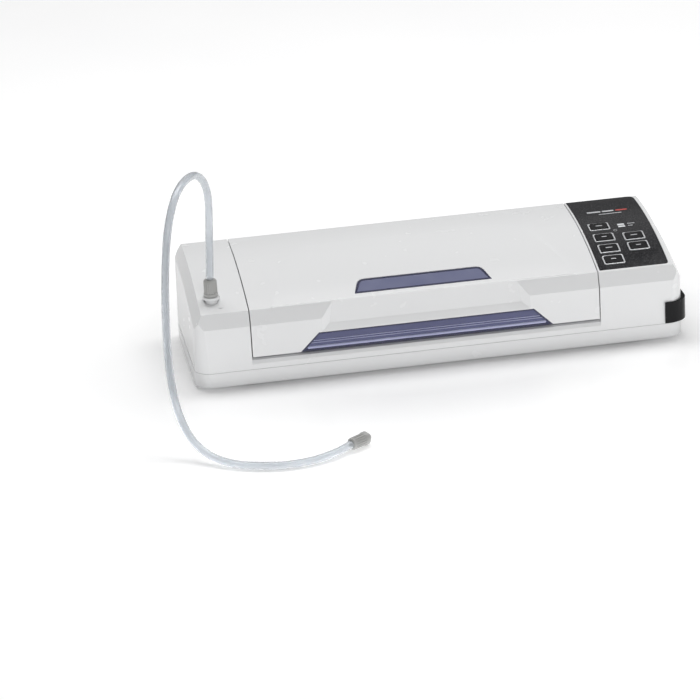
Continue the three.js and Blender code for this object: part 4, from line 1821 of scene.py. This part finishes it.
@dataclass
class SealingDeck:
    """The gasket, sealing bar and woven tape on the deck under the lid."""

    finishes: Finishes

    def build(self) -> None:
        """Builds the sealing parts."""
        for node, name, finish, slot, edge in (
            ("lower_gasket", "lower_gasket_foam", "foam", Slot.FOAM, 0.5 * MM),
            ("sealing_bar", "sealing_bar_body", "grey", Slot.GREY, 0.15 * MM),
            ("bar_tape", "bar_tape_woven", "tape", Slot.TAPE, 0.08 * MM),
            ("suction_nozzle", "suction_nozzle_body", "grey", Slot.GREY, 0.3 * MM),
        ):
            obj = copy_of(node, name)
            eased(obj, edge, 2, 40.0)
            smoothed(obj)
            dressed(obj, self.finishes[finish], Body.BASE.value)


@dataclass
class PowerInlet:
    """The two-pin appliance inlet at the rear."""

    finishes: Finishes
    pin_radius: float = 1.2 * MM
    pin_gap: float = 8.6 * MM
    pin_length: float = 11.0 * MM
    pin_setback: float = 8.5 * MM
    corner: float = 2.0 * MM
    wall: float = 4.0 * MM
    socket_depth: float = 13.0 * MM

    def build(self) -> None:
        """Builds the socket and its pins."""
        low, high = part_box("power_inlet")
        centre = (low + high) / 2
        size = high - low
        obj = block("inlet_socket", tuple(centre), tuple(size))
        bevel_edges(obj, self.lengthwise, self.corner, 4)
        inset_faces(obj, self.outer_face, self.wall, 0.0)
        inset_faces(obj, self.middle_of(centre), 0.3 * MM, -self.socket_depth)
        eased(obj, 0.4 * MM, 2, 45.0)
        smoothed(obj, 30.0)
        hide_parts("power_inlet")
        dressed(obj, self.finishes["trim"], Body.BASE.value)
        for side, name in ((-1, "left"), (1, "right")):
            x = centre.x + side * self.pin_gap / 2
            bpy.ops.object.select_all(action="DESELECT")
            bpy.ops.mesh.primitive_cylinder_add(
                vertices=24,
                radius=self.pin_radius,
                depth=self.pin_length,
                location=(x, high.y - self.pin_setback, centre.z),
                rotation=(math.pi / 2, 0.0, 0.0),
            )
            pin = added(f"inlet_pin_{name}")
            eased(pin, 0.5 * MM, 3, 60.0)
            smoothed(pin)
            dressed(pin, self.finishes["steel"], Body.BASE.value)

    @staticmethod
    def lengthwise(edge: bmesh.types.BMEdge) -> bool:
        """Whether an edge runs from front to rear."""
        return abs((edge.verts[0].co - edge.verts[1].co).y) > 5 * MM

    @staticmethod
    def outer_face(face: bmesh.types.BMFace) -> bool:
        """Whether a face looks to the rear."""
        return face.normal.y > 0.9

    @staticmethod
    def middle_of(centre: Vector) -> Callable[[bmesh.types.BMFace], bool]:
        """A test for the rear face that holds the socket's middle.

        Args:
            centre: the middle of the inlet.

        Returns:
            A function that says whether a face is that one.
        """

        def wanted(face: bmesh.types.BMFace) -> bool:
            """Whether a face looks to the rear from the middle of the inlet."""
            middle = face.calc_center_median()
            near = abs(middle.x - centre.x) < MM and abs(middle.z - centre.z) < MM
            return face.normal.y > 0.9 and near

        return wanted


@dataclass
class CornerBand:
    """The glossy black band round the front right corner."""

    finishes: Finishes

    def build(self) -> None:
        """Builds the band."""
        obj = copy_of("corner_band", "corner_band_gloss")
        eased(obj, 0.6 * MM, 3, 34.0)
        smoothed(obj, 30.0)
        dressed(obj, self.finishes["trim"], Body.BASE.value)


@dataclass
class InsideParts:
    """The working parts inside the casing, kept as they are and given their finishes."""

    finishes: Finishes

    def build(self) -> None:
        """Dresses the inner parts and the hinge pins."""
        for node, finish in (
            ("heater_strip", "steel"),
            ("hinge_pin_left", "steel"),
            ("hinge_pin_right", "steel"),
            ("pump_motor", "motor"),
            ("pump_head", "grey"),
            ("solenoid_valve", "steel"),
            ("power_board", "board"),
            ("circuit_board", "board"),
            ("transformer", "motor"),
            ("lid_switch", "trim"),
            ("suction_tube", "tube"),
            ("port_tube", "tube"),
        ):
            coloured(node, self.finishes[finish])


def main() -> None:
    """Builds the studio and then the sealer, one sub-assembly after another."""
    logging.basicConfig(level=logging.INFO, format="%(name)s: %(message)s")
    Studio().build()
    finishes = Finishes()
    for assembly in (
        SuctionHose(finishes),
        Casing(finishes),
        Lid(finishes),
        ControlPanel(finishes),
        SealingDeck(finishes),
        PowerInlet(finishes),
        CornerBand(finishes),
        InsideParts(finishes),
    ):
        assembly.build()
        LOG.info("%s is built", type(assembly).__name__)
    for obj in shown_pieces():
        LOG.info("%s has %d faces", obj.name, len(obj.data.polygons))


if __name__ == "__main__":
    main()
